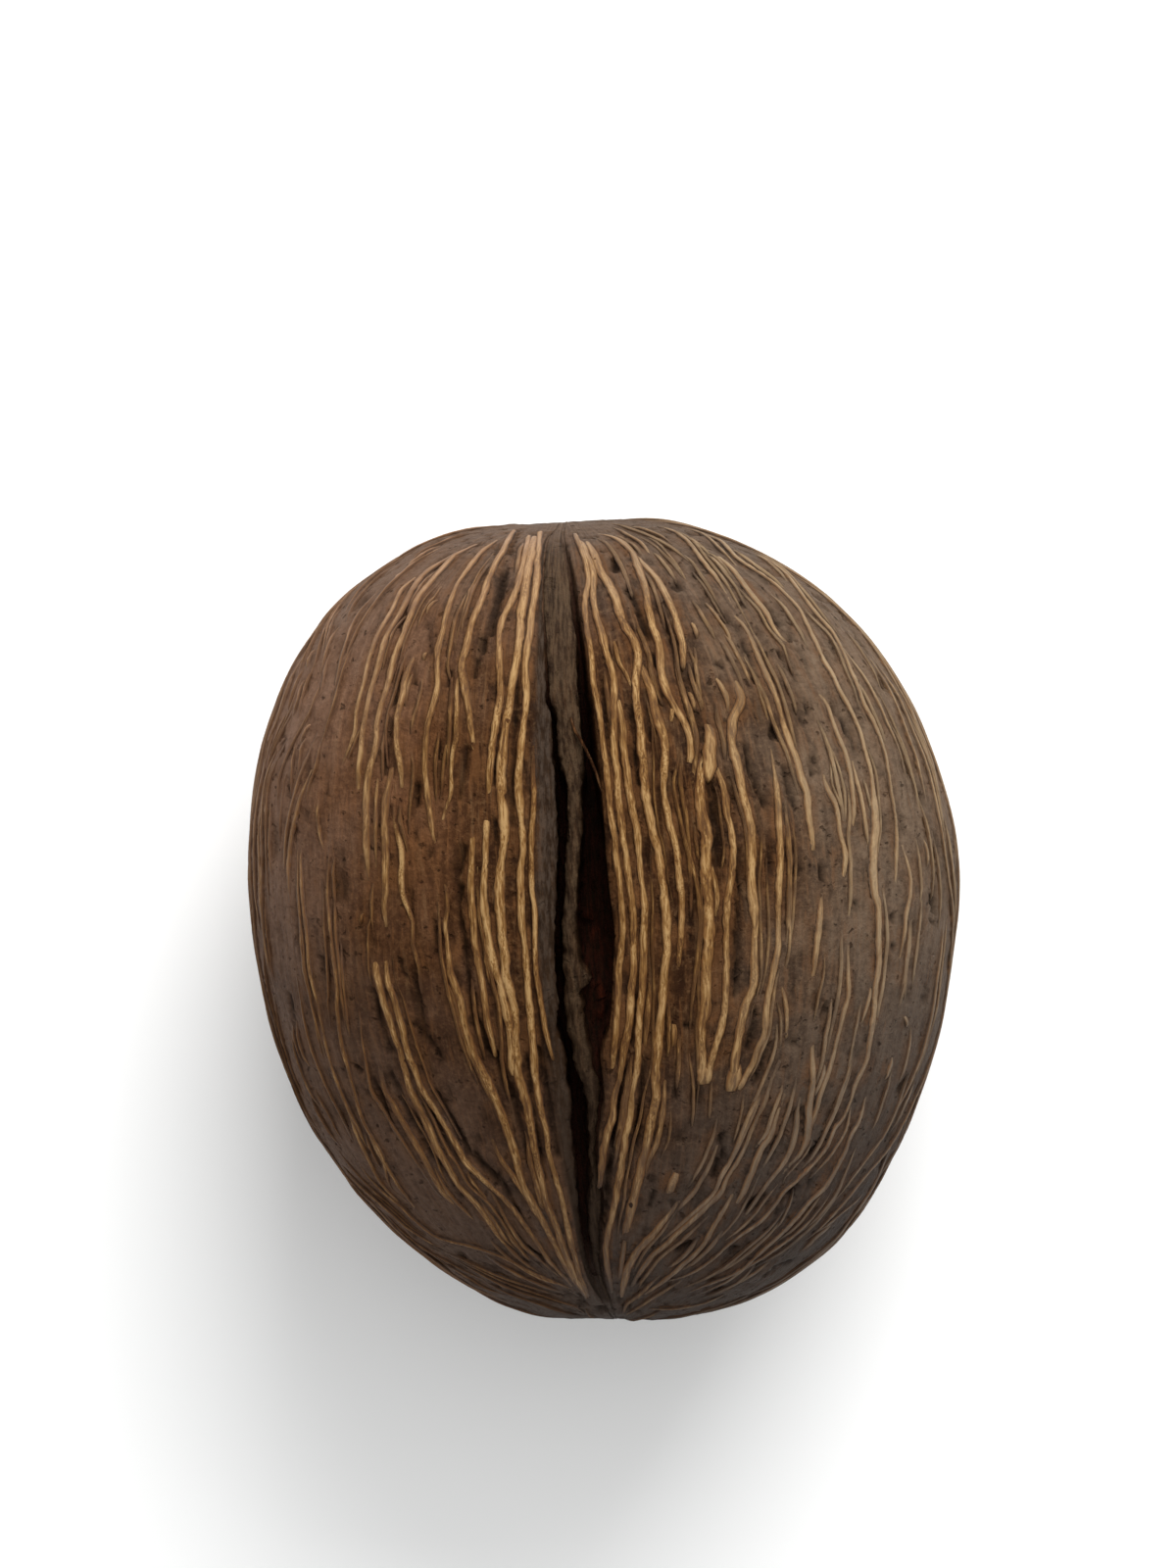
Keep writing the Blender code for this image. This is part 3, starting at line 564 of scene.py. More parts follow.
def swell(angle, height):
    """How wide the body is at a height, as a share of its widest plane."""
    top = TOP_FULLNESS - TOP_LEFT_GAIN * np.sin(angle)
    fullness = np.where(height > 0, top, STEM_FULLNESS)
    return np.maximum(0.0, 1 - np.abs(height) ** fullness) ** (1 / fullness)


def skin(angle, height):
    """Points of the smooth stone, about its axis, and the directions out of it."""
    side, front, wide = np.sin(angle), np.cos(angle), swell(angle, height)
    x = (HALF_WIDTH + RIGHT_BULGE * side) * side * wide
    slant = STEM_SLANT * side * wide * np.maximum(0.0, -height) ** 3
    y = height * np.where(height > 0, TOP_REACH, STEM_REACH) - slant
    z = (HALF_DEPTH - BACK_BULGE * front) * front * wide
    points = np.stack([x, y, z], axis=-1)
    outward = np.stack([side * wide, height, front * wide], axis=-1)
    outward /= np.linalg.norm(outward, axis=-1, keepdims=True)
    lump = LUMP_HEIGHT * grain(points, LUMP_SPAN)
    turned = (angle - KNOB_ANGLE) / KNOB_ANGLE_SPREAD
    moved = (height - KNOB_PLACE) / KNOB_PLACE_SPREAD
    knob = KNOB_HEIGHT * np.exp(-(turned**2) - moved**2)
    valley = VALLEY_DEPTH * np.exp(-((x / VALLEY_HALF_WIDTH) ** 2))
    valley = valley * smooth(front * VALLEY_FACE_FADE) * smooth(wide * VALLEY_END_FADE)
    dimple = DIMPLE_DEPTH * np.exp(-((wide / DIMPLE_SPREAD) ** 2))
    rise = lump + knob - valley - dimple
    return points + outward * rise[:, None], outward


def floor_level():
    """How far below the axis the stone's flat spot lies."""
    angle, height = np.meshgrid(np.linspace(*BACK_ANGLES), np.linspace(*BACK_HEIGHTS))
    points, _ = skin(angle.ravel(), height.ravel())
    return points[:, 2].min() + REST_CUT


REST_LEVEL = floor_level()


def set_down(points):
    """Moves points from about the axis to where the stone lies, on its flat spot."""
    placed = points + np.array([AXIS_X, WIDEST_Y, -REST_LEVEL])
    placed[:, 2] = np.maximum(placed[:, 2], 0.0)
    return placed


def inward(height):
    """The direction straight into the stone at the furrow."""
    reach = np.where(height > 0, TOP_REACH, STEM_REACH)
    wide = swell(np.zeros_like(height), height)
    into = np.stack([0 * height, height / reach, wide / (HALF_DEPTH - BACK_BULGE)], axis=-1)
    return -into / np.linalg.norm(into, axis=-1, keepdims=True)


def angle_at(across, height):
    """The angle at which a furrow line, that far from the axis, meets the skin."""
    radius = np.maximum(swell(0.0, height) * HALF_WIDTH, LEAST_RADIUS)
    return np.arcsin(np.clip(across / radius, -STEEPEST_SINE, STEEPEST_SINE))


# Finding the place that the camera sees at a pixel: a first guess on a grid of angles and
# heights, then rounds that close in on it by steps no larger than these
GUESS_ANGLES = (-1.45, 1.45, 90)
GUESS_HEIGHTS = (-0.99, 0.99, 120)
CLOSING_ROUNDS = 8
NUDGE = 1e-4
LEAST_SPAN = 1e3
MOST_TURN = 0.05
MOST_MOVE = 0.03
ANGLE_LIMIT = 1.5
HEIGHT_LIMIT = 0.995


def photo_pixels(points):
    """Where the camera sees points of the stone, in px of the photo."""
    away = points - np.array([*VIEW_OVER, VIEW_HEIGHT])
    right = away[:, 0] * math.cos(VIEW_ROLL) - away[:, 1] * math.sin(VIEW_ROLL)
    up = away[:, 0] * math.sin(VIEW_ROLL) + away[:, 1] * math.cos(VIEW_ROLL)
    scale = LENS_PX / -away[:, 2]
    return np.stack([PHOTO_WIDTH / 2 + right * scale, PHOTO_HEIGHT / 2 - up * scale], axis=-1)


def seen_at(angle, height):
    """Where the camera sees places on the skin, in px of the photo."""
    return photo_pixels(set_down(skin(angle, height)[0]))


def first_guess(pixels):
    """The angle and height, on a grid, that the camera sees nearest to each pixel."""
    grid = np.stack(np.meshgrid(np.linspace(*GUESS_ANGLES), np.linspace(*GUESS_HEIGHTS)), -1)
    grid = grid.reshape(-1, 2)
    tree = tree_of([(px, py, 0) for px, py in seen_at(grid[:, 0], grid[:, 1])])
    nearest = [tree.find((px, py, 0))[1] for px, py in pixels]
    return grid[nearest].T.copy()


def on_skin(pixels):
    """The angle and height on the upper face that the camera sees at each pixel."""
    angle, height = first_guess(pixels)
    for _ in range(CLOSING_ROUNDS):
        here = seen_at(angle, height)
        turned = (seen_at(angle + NUDGE, height) - here) / NUDGE
        moved = (seen_at(angle, height + NUDGE) - here) / NUDGE
        miss = pixels - here
        span = turned[:, 0] * moved[:, 1] - turned[:, 1] * moved[:, 0]
        span = np.where(np.abs(span) < LEAST_SPAN, np.copysign(LEAST_SPAN, span), span)
        turn = (miss[:, 0] * moved[:, 1] - miss[:, 1] * moved[:, 0]) / span
        move = (turned[:, 0] * miss[:, 1] - turned[:, 1] * miss[:, 0]) / span
        angle = angle + np.clip(turn, -MOST_TURN, MOST_TURN)
        height = height + np.clip(move, -MOST_MOVE, MOST_MOVE)
        angle = np.clip(angle, -ANGLE_LIMIT, ANGLE_LIMIT)
        height = np.clip(height, -HEIGHT_LIMIT, HEIGHT_LIMIT)
    return angle, height


CURVE_PARTS = 12
FEWEST_STEPS = 6


def smooth_route(corners, step):
    """Points at even steps on a smooth curve through the corners, which start with x and y."""
    corners = np.array(corners, float)
    before, after = 2 * corners[0] - corners[1], 2 * corners[-1] - corners[-2]
    padded = np.vstack([before, corners, after])
    t = np.linspace(0, 1, CURVE_PARTS, endpoint=False)[:, None]
    runs = []
    for a, b, c, d in zip(padded, padded[1:], padded[2:], padded[3:]):
        bend = 2 * a - 5 * b + 4 * c - d
        twist = 3 * (b - c) + d - a
        runs.append(b + 0.5 * t * (c - a + t * (bend + t * twist)))
    curve = np.vstack(runs + [corners[-1:]])
    steps = np.linalg.norm(np.diff(curve[:, :2], axis=0), axis=1)
    length = np.concatenate([[0], np.cumsum(steps)])
    count = max(FEWEST_STEPS, round(length[-1] / step))
    places = np.linspace(0, length[-1], count + 1)
    return np.stack([np.interp(places, length, column) for column in curve.T], axis=-1)


# A fibre's course, section and look
FIBRE_STEP_PX = 4.5
FIBRE_SIDES = 10
THIN_SIDES = 6
FIBRE_CROWN = 0.17 * MM
FIBRE_ROOT = 0.3 * MM
FIBRE_SINK = 0.05 * MM
FIBRE_SKIRT = 1.25
SWELLS_UNDER = 0.8
EDGE_WOBBLE = 0.3
EDGE_WOBBLE_SPAN = 1.6 * MM
EDGE_RAGGING = 0.25
EDGE_RAGGING_SPAN = 0.7 * MM
FIBRE_WANDER = 0.1 * MM
WANDER_SPAN = 3 * MM
TIP_LEAST = 0.9 * MM
TIP_GAIN = 9 * MM
TIP_MOST = 0.35
FADE_SPAN = 7 * MM
FADE_LEVEL = 1.05
FADE_CHANGE = 0.8
FADE_LEAST = 0.45
END_WIDTH = 0.35
FULL_WIDTH_FROM = 20 * MM
TONE_SPAN = 5 * MM
TONE_CHANGE = 0.3
FIBRE_KEYS = 1000
OTHER_EDGE_KEY = 50.0
LEAST_AREA = 1e-12
HEIGHT_ALMOST_END = 0.999

# The rows of the upper face: their width in the model, when two of them are one fibre, and
# where their waves are evened out
FACE_SEED = 11
FACE_WIDTHS = 0.98
JOIN_REACH_PX = 13.5
JOIN_OVERLAP_PX = 12
CALM_FROM = 0.9
CALM_TO = 1.25
CALM_REACH = 9


def new_fibre(angle, height, width, tones, rng, sides=FIBRE_SIDES, sunk=0.0):
    """A fibre's course over the skin, with its half width, tone and show at each point."""
    points, outward = skin(angle, height)
    steps = np.linalg.norm(np.diff(points, axis=0), axis=1)
    along = np.concatenate([[0], np.cumsum(steps)])
    length = along[-1]
    key = rng.uniform(0, FIBRE_KEYS)
    show = shown(angle, points, along, (tones[0], tones[-1]), key)
    radius = swell(angle, height) * HALF_WIDTH
    slim = END_WIDTH + (1 - END_WIDTH) * smooth(radius / FULL_WIDTH_FROM)
    tone = np.interp(along / length, np.linspace(0, 1, len(tones)), tones)
    return SimpleNamespace(
        angle=angle,
        height=height,
        points=points,
        outward=outward,
        along=along,
        half=0.5 * width * slim * (0.5 + 0.5 * show),
        tone=tone * (1 + TONE_CHANGE * grain_along(along, TONE_SPAN, 0, key)),
        show=show,
        key=key,
        sides=sides,
        sunk=sunk,
    )


def shown(angle, points, along, ends, key):
    """How far a fibre stands out at each point: less at its tips, and none on the flat spot."""
    length = along[-1]
    tips = [min(TIP_LEAST + TIP_GAIN * max(0.0, 1 - end), TIP_MOST * length) for end in ends]
    show = smooth(along / tips[0]) * smooth((length - along) / tips[1])
    fading = FADE_LEVEL + FADE_CHANGE * grain_along(along, FADE_SPAN, key, 0)
    show = show * np.clip(fading, FADE_LEAST, 1.0)
    behind = np.hypot(points[:, 0], points[:, 1])
    rest = smooth((behind - REST_SMOOTH_FROM) / (REST_SMOOTH_TO - REST_SMOOTH_FROM))
    return np.where(np.cos(angle) < 0, show * rest, show)


def following_rows(rows):
    """Which row goes on from where each row ends, for those that do."""
    gaps = [
        (math.dist(end[-1, :2], start[0, :2]), i, j)
        for i, end in enumerate(rows)
        for j, start in enumerate(rows)
        if i != j
    ]
    following = {}
    for gap, i, j in sorted(gaps):
        if gap < JOIN_REACH_PX and i not in following and j not in following.values():
            following[i] = j
    return following


def joined_corners():
    """Corners of the upper face's fibres: x, y, width and tone. Rows that go on are joined."""
    rows = [
        np.column_stack([route, np.full(len(route), width), np.linspace(first, last, len(route))])
        for width, first, last, route in FACE_FIBRES
    ]
    following = following_rows(rows)
    joined = []
    for index in sorted(set(range(len(rows))) - set(following.values())):
        corners = rows[index]
        while index in following:
            index = following[index]
            above = corners[:, 1] < rows[index][0, 1] - JOIN_OVERLAP_PX
            corners = np.vstack([corners[above], rows[index]])
        joined.append(corners)
    return joined


def calmed(angle):
    """A course with its waves evened out near the outline, where a pixel makes a large wave."""
    places = np.arange(len(angle))
    shares = np.exp(-(((places[:, None] - places) / CALM_REACH) ** 2))
    shares /= shares.sum(axis=1, keepdims=True)
    line = np.linspace(angle[0], angle[-1], len(angle))
    calm = line + shares @ (angle - line)
    near = smooth((np.abs(angle) - CALM_FROM) / (CALM_TO - CALM_FROM))
    return angle + near * (calm - angle)


def face_fibres():
    """The fibres of the upper face, each on the route that it takes there."""
    rng = random.Random(FACE_SEED)
    routes = [smooth_route(corners, FIBRE_STEP_PX) for corners in joined_corners()]
    angle, height = on_skin(np.vstack(routes)[:, :2])
    fibres, start = [], 0
    for route in routes:
        part = slice(start, start + len(route))
        start += len(route)
        wide = FACE_WIDTHS * route[:, 2] * MM_PER_PX * MM
        fibres.append(new_fibre(calmed(angle[part]), height[part], wide, route[:, 3], rng))
    return fibres


# How the other fibres follow those of the upper face and keep clear of them
FIELD_NEIGHBOURS = 16
FIELD_REACH = 9 * MM
FIELD_EVENNESS = 2 * MM
LEAST_DROP = 1e-4
MOST_LEAN = 1.5
CROSSING_GAP = 0.42 * MM
FURROW_MARGIN = 0.01
POLE_GAP = 0.05
FEWEST_POINTS = 8

# Thin fibres beside those of the upper face. Widths are in mm, here and below.
COMPANION_SEED = 3
COMPANIONS = (1, 1, 2)
COMPANION_FROM = (0, 0.6)
COMPANION_LENGTH = (0.25, 0.9)
COMPANION_STRIDE = 1.4
COMPANION_POLE_GAP = 0.1
COMPANION_OFFSETS = (0.5 * MM, 1.5 * MM)
COMPANION_SWAY = 0.3
COMPANION_PHASES = (0, 6)
COMPANION_WAVES = 0.11
COMPANION_TONES = (0.05, 0.45)
COMPANION_WIDTHS = (0.22, 0.46)
RUN_ON = (0.012, 0.16, 12)
LEAST_GIRTH = 6 * MM

# Fibres of the sides and the back
BACK_SEED = 5
BACK_FIBRES = 60
BACK_FROM = 1.3
BACK_JITTER = 0.3
BACK_END = (0.06, 0.42)
BACK_WAVES = (1.5, 4)
BACK_SWAY = 0.035
BACK_SHIFT = 0.012
BACK_POINTS_PER_TURN = 40
BACK_TONES = (0.15, 0.5)
BACK_WIDTHS = (0.35, 0.7)
BREAKS = (0, 1, 1, 2)
BREAK_PLACES = (0.8, 2.3)
BREAK_HALF = 0.012

# Fine, dull fibres all round
FINE_SEED = 23
FINE_FIBRES = 330
FINE_FROM = (0.25, 2.7)
FINE_STEPS = (9, 26)
FINE_STEP = 0.02
FINE_TONES = (0.05, 0.4)
FINE_WIDTHS = (0.25, 0.55)

# The thread across the right split, in px
FURROW_THREAD = ((581, 726), (586, 742), (594, 756), (602, 772), (609, 790), (617, 812))
THREAD_SEED = 2
THREAD_SUNK = 0.45 * MM
THREAD_WIDTH = 0.24 * MM
THREAD_TONES = (0.0, 0.05)


def fibre_field(fibres):
    """The places of the upper face's fibres, and how far each leans from end to end there."""
    leans = []
    for fibre in fibres:
        drop = np.gradient(np.arccos(fibre.height))
        drop = np.where(np.abs(drop) < LEAST_DROP, LEAST_DROP, drop)
        leans += np.clip(np.gradient(fibre.angle) / drop, -MOST_LEAN, MOST_LEAN).tolist()
    return tree_of(np.vstack([fibre.points for fibre in fibres])), leans


def facing(angle):
    """The same angle, from half a turn left of the furrow to half a turn right of it."""
    return (angle + math.pi) % math.tau - math.pi


def course_beside(field, angle, turn, count, step):
    """A course from a place on the skin that runs as the nearest fibres do."""
    tree, leans = field
    course = [(angle, turn)]
    for _ in range(count):
        here = skin(np.array([angle]), np.array([math.cos(turn)]))[0][0]
        found = tree.find_n(here, FIELD_NEIGHBOURS)
        shares = [1 / (distance + FIELD_EVENNESS) for *_, distance in found]
        leaning = sum(share * leans[index] for share, (_, index, _) in zip(shares, found))
        lean = leaning / sum(shares) * (1 - smooth(found[0][2] / FIELD_REACH))
        angle, turn = angle + lean * step, turn + step
        course.append((angle, turn))
    return np.array(course).T


def clear_course(field, furrow, angle, turn):
    """The longest stretch of a course that crosses neither a fibre nor the furrow."""
    height = np.cos(turn)
    left, right = (np.interp(-height, -furrow[0], side) for side in furrow[1:])
    clear = (facing(angle) < left - FURROW_MARGIN) | (facing(angle) > right + FURROW_MARGIN)
    clear &= (turn > POLE_GAP) & (turn < math.pi - POLE_GAP)
    points, _ = skin(angle, height)
    clear &= np.array([field[0].find(point)[2] > CROSSING_GAP for point in points.tolist()])
    best, start = (0, 0), 0
    for end, free in enumerate([*clear, False]):
        if not free:
            best, start = max(best, (end - start, start)), end + 1
    kept = slice(best[1], best[1] + best[0])
    return angle[kept], turn[kept]


def drawn_look(rng, tones, widths):
    """A width and the tones of both ends, drawn from their ranges."""
    ends = (rng.uniform(*tones), rng.uniform(*tones))
    return rng.uniform(*widths) * MM, ends


def run_on(fibre):
    """A fibre's course, run on past both its ends."""
    on = np.linspace(*RUN_ON)
    turn = np.arccos(fibre.height)
    turn = np.concatenate([turn[0] - on[::-1], turn, turn[-1] + on])
    angle = np.concatenate([0 * on + fibre.angle[0], fibre.angle, 0 * on + fibre.angle[-1]])
    return angle, turn


def companion_course(fibre, rng):
    """A stretch of a fibre's course, moved to its left or right. None where it is too short."""
    angle, turn = run_on(fibre)
    count = len(turn)
    first = rng.uniform(*COMPANION_FROM) * count
    length = rng.uniform(*COMPANION_LENGTH) * count
    places = np.arange(first, min(first + length, count - 1), COMPANION_STRIDE)
    if len(places) < FEWEST_POINTS:
        return None
    turn = np.interp(places, np.arange(count), turn)
    turn = np.clip(turn, COMPANION_POLE_GAP, math.pi - COMPANION_POLE_GAP)
    angle = np.interp(places, np.arange(count), angle)
    offset = rng.choice((-1, 1)) * rng.uniform(*COMPANION_OFFSETS)
    radius = np.maximum(swell(angle, np.cos(turn)) * HALF_WIDTH, LEAST_GIRTH)
    waves = np.sin(rng.uniform(*COMPANION_PHASES) + COMPANION_WAVES * places)
    return angle + offset / radius * (1 + COMPANION_SWAY * waves), turn


def companion_fibres(fibres, field, furrow):
    """Thinner, duller fibres that run beside those of the upper face and on past their ends."""
    rng = random.Random(COMPANION_SEED)
    made = []
    for fibre in fibres:
        for _ in range(rng.choice(COMPANIONS)):
            course = companion_course(fibre, rng)
            if course is None:
                continue
            angle, turn = clear_course(field, furrow, *course)
            if len(turn) < FEWEST_POINTS:
                continue
            wide, tones = drawn_look(rng, COMPANION_TONES, COMPANION_WIDTHS)
            made.append(new_fibre(angle, np.cos(turn), wide, tones, rng, THIN_SIDES))
    return made


def back_fibres(field, furrow):
    """Fibres that run over the sides and the back from end to end, with breaks."""
    rng = random.Random(BACK_SEED)
    fibres = []
    for index in range(BACK_FIBRES):
        place = index + 0.5 + rng.uniform(-BACK_JITTER, BACK_JITTER)
        middle = BACK_FROM + (math.tau - 2 * BACK_FROM) * place / BACK_FIBRES
        phase, rate = rng.uniform(0, math.tau), rng.uniform(*BACK_WAVES)
        first, last = rng.uniform(*BACK_END), math.pi - rng.uniform(*BACK_END)
        breaks = [rng.uniform(*BREAK_PLACES) for _ in range(rng.choice(BREAKS))]
        ends = sorted([first, *breaks, last])
        for start, stop in zip(ends, ends[1:]):
            count = round(BACK_POINTS_PER_TURN * (stop - start)) + FEWEST_POINTS
            turn = np.linspace(start + BREAK_HALF, stop - BREAK_HALF, count)
            shift = rng.uniform(-BACK_SHIFT, BACK_SHIFT)
            angle = middle + BACK_SWAY * np.sin(phase + rate * turn) + shift
            angle, turn = clear_course(field, furrow, angle, turn)
            wide, tones = drawn_look(rng, BACK_TONES, BACK_WIDTHS)
            if len(turn) >= FEWEST_POINTS:
                fibres.append(new_fibre(angle, np.cos(turn), wide, tones, rng))
    return fibres


def fine_fibres(field, furrow):
    """Thin, dull fibres that show here and there between the others, all round."""
    rng = random.Random(FINE_SEED)
    fibres = []
    for _ in range(FINE_FIBRES):
        angle, turn = rng.uniform(0, math.tau), rng.uniform(*FINE_FROM)
        steps = rng.randint(*FINE_STEPS)
        angle, turn = course_beside(field, facing(angle), turn, steps, FINE_STEP)
        angle, turn = clear_course(field, furrow, angle, turn)
        wide, tones = drawn_look(rng, FINE_TONES, FINE_WIDTHS)
        if len(turn) >= FEWEST_POINTS:
            fibres.append(new_fibre(angle, np.cos(turn), wide, tones, rng, THIN_SIDES))
    return fibres


def furrow_thread():
    """The thin thread that crosses the right split, just under the skin."""
    angle, height = on_skin(smooth_route(FURROW_THREAD, FIBRE_STEP_PX))
    rng = random.Random(THREAD_SEED)
    return new_fibre(angle, height, THREAD_WIDTH, THREAD_TONES, rng, sunk=THREAD_SUNK)


def clear_selection():
    """Leaves nothing selected."""
    bpy.ops.object.select_all(action="DESELECT")


def sphere_grid(segments, rings):
    """A new sphere, with the ring and the segment of each of its points."""
    clear_selection()
    bpy.ops.mesh.primitive_uv_sphere_add(segments=segments, ring_count=rings, radius=1)
    piece = bpy.context.object
    points = np.empty(len(piece.data.vertices) * 3)
    piece.data.vertices.foreach_get("co", points)
    points = points.reshape(-1, 3)
    ring = np.rint(np.arccos(np.clip(points[:, 2], -1, 1)) / math.pi * rings).astype(int)
    turn = np.arctan2(points[:, 1], points[:, 0]) / math.tau
    segment = np.rint(turn * segments).astype(int) % segments
    return piece, ring, segment


def shape(piece, points, values):
    """Moves a piece's points to their places, and stores its values for the finishes."""
    piece.data.vertices.foreach_set("co", set_down(points).ravel())
    for name, numbers in values.items():
        kind, field = ("FLOAT", "value") if numbers.ndim == 1 else ("FLOAT_VECTOR", "vector")
        layer = piece.data.attributes.new(name, kind, "POINT")
        layer.data.foreach_set(field, np.ascontiguousarray(numbers, np.float32).ravel())
    piece.data.update()


def nearest_places(points, places):
    """How far each point is from the nearest of the places, and which that is."""
    tree = tree_of(places)
    found = [tree.find(point)[1:] for point in points.tolist()]
    return np.array([distance for _, distance in found]), np.array([index for index, _ in found])


# Relief of the husk under and beside the fibres
RIDGE_HEIGHT = 0.22 * MM
RIDGE_SPREAD = 1.5 * MM
DENT_DEPTH = 0.16 * MM
DENT_OFFSET = 0.2 * MM
DENT_SPREAD = 0.28 * MM
NEAR_SPREAD = 0.7 * MM
WIDE_HALF = 0.32 * MM

# The husk's own relief
SWELL_HEIGHT = 0.16 * MM
SWELL_SPAN = 5 * MM
CRUMB_HEIGHT = 0.1 * MM
CRUMB_SPAN = 1.5 * MM
GROOVE_BLUR = 0.22 * MM
GROOVE_RAGGING = 0.12 * MM
GROOVE_RAGGING_SPAN = 1.2 * MM
FUZZ_REACH = 0.28 * MM
FUZZ_SPAN = 1.3 * MM

# Pores: the span of each kind, the noise from which it opens, and how much more opens it fully
PORE_DEPTH = 0.45 * MM
PORE_STRETCH = (1, 0.4, 1)
FINE_PORES = (1.1 * MM, 0.22, 0.3)
WIDE_PORES = (2.2 * MM, 0.46, 0.2)
FINE_PORE_SHARE = 0.6
# How dark an open pore is painted, as painted shade in its hollow
PORE_PAINTED_SHADE = 0.7
PATCH_SPAN = 9 * MM
PATCH_CONTRAST = 1.5
PATCH_LEVEL = 0.6

# Where the husk's furrow zones begin to show, as depths below the skin
ZONE_DEPTH = 0.3 * MM
SPLIT_DEPTH = 2.5 * MM
FUZZ_DEPTH = 1.5 * MM

# Shares of a lip's depth, and of the right split's width
LIP_START = 0.3
LIP_MIDDLE = 0.45
LEAST_FLOOR = 0.4


def husk_relief(points, fibres):
    """How near each point is to a fibre, and how far the husk rises or sinks there."""
    distance, index = nearest_places(points, np.vstack([fibre.points for fibre in fibres]))
    half = np.concatenate([fibre.half for fibre in fibres])[index]
    show = np.concatenate([fibre.show for fibre in fibres])[index]
    gap = distance - half
    show = show * np.clip(half / WIDE_HALF, 0.0, 1.0)
    ridge = RIDGE_HEIGHT * show * np.exp(-((distance / RIDGE_SPREAD) ** 2))
    dent = DENT_DEPTH * show * np.exp(-(((gap - DENT_OFFSET) / DENT_SPREAD) ** 2))
    near = show * np.exp(-((np.maximum(gap, 0) / NEAR_SPREAD) ** 2))
    return ridge - dent, near


def drawn_marks(points, table):
    """How far points of the stone lie on the marks of a table, from 0 to 1, and their heights."""
    routes = [smooth_route(corners, FIBRE_STEP_PX) for *_, corners in table]
    rows = np.vstack([np.tile(row[:2], (len(route), 1)) for row, route in zip(table, routes)])
    angle, height = on_skin(np.vstack(routes))
    distance, index = nearest_places(points, skin(angle, height)[0])
    width, tall = rows[index].T
    distance = distance + GROOVE_RAGGING * grain(points, GROOVE_RAGGING_SPAN, start=6.6)
    return 1 - smooth(distance / (0.5 * width * MM_PER_PX * MM + GROOVE_BLUR)), tall * MM


def open_pores(points, kind, start):
    """How far pores of one kind are open at each point, from 0 to 1."""
    span, level, change = kind
    return smooth((grain(points, span, start) - level) / change)


def pore_marks(points):
    """How deep the husk's open pores are at points of the stone, from 0 to 1."""
    drawn = points * np.array(PORE_STRETCH)
    fine = open_pores(drawn, FINE_PORES, start=5.5)
    wide = open_pores(drawn, WIDE_PORES, start=9.1)
    patchy = smooth(grain(points, PATCH_SPAN, start=2.2) * PATCH_CONTRAST + PATCH_LEVEL)
    return np.maximum(FINE_PORE_SHARE * fine, wide) * patchy


def skin_swells(points):
    """The husk's own gentle unevenness at points of the smooth stone."""
    return SWELL_HEIGHT * grain(points, SWELL_SPAN, start=3.1)


def furrow_table(height):
    """Across and depth, in metres, of the lines that run along the furrow at each height."""
    across = []
    for line in range(1, 6):
        route = smooth_route([(row[line], row[0]) for row in FURROW_ACROSS], FURROW_STEP_PX)
        angles, heights = on_skin(route)
        reached = np.concatenate([[1], heights, [-1]])
        end = (line - 3) * LEAST_STEP
        found = np.concatenate([[end], np.sin(angles) * swell(0.0, heights) * HALF_WIDTH, [end]])
        order = np.argsort(reached)
        across.append(np.interp(height, reached[order], found[order]))
    rows, edges = np.array(FURROW_DEPTH), np.array(FURROW_ACROSS)
    middle = np.interp(rows[:, 0], edges[:, 0], edges[:, 3])
    _, heights = on_skin(np.stack([middle, rows[:, 0]], axis=-1))
    depths = [np.interp(-height, -heights, column, 0, 0) * MM for column in rows.T[1:]]
    return across, depths


def furrow_lines(height):
    """Across and depth of twelve lines along the furrow, one row for each height."""
    (lip, left_from, left_to, right_from, right_to), depths = furrow_table(height)
    edge, left_depth, wall_top, right_depth, hidden = depths
    left_depth = np.maximum(left_depth, np.maximum(edge, wall_top) + LEAST_STEP)
    right_depth = np.maximum(right_depth, wall_top + LEAST_STEP)
    drop = np.minimum(LIP_DROP, 0.5 * right_depth)
    rounding = np.minimum(LIP_ROUNDING, 0.5 * (right_to - lip))
    left_slope = SPLIT_SLOPE * (left_to - left_from)
    right_slope = SPLIT_SLOPE * (right_to - right_from)
    floor_end = np.maximum(right_to + hidden, right_from + LEAST_FLOOR * (right_to - right_from))
    lines = (
        (lip, np.minimum(LIP_EDGE_DEPTH, LIP_START * edge)),
        ((lip + left_from) / 2, LIP_MIDDLE * edge),
        (left_from, edge),
        (left_from + left_slope, left_depth),
        (left_to - left_slope, left_depth),
        (left_to, wall_top),
        ((left_to + right_from) / 2, wall_top * (1 - WALL_CROWN)),
        (right_from, wall_top),
        (right_from + right_slope, right_depth),
        (floor_end, right_depth),
        (right_to, drop),
        (right_to + rounding, 0 * drop),
    )
    return np.stack([across for across, _ in lines], -1), np.stack([depth for _, depth in lines], -1)


def finer(columns):
    """Columns of numbers with even steps put in between, as FURROW_CUTS says."""
    filled = [columns[..., :1]]
    for index, cuts in enumerate(FURROW_CUTS):
        start, end = columns[..., index : index + 1], columns[..., index + 1 : index + 2]
        filled.append(start + (end - start) * np.arange(1, cuts + 1) / cuts)
    return np.concatenate(filled, axis=-1)


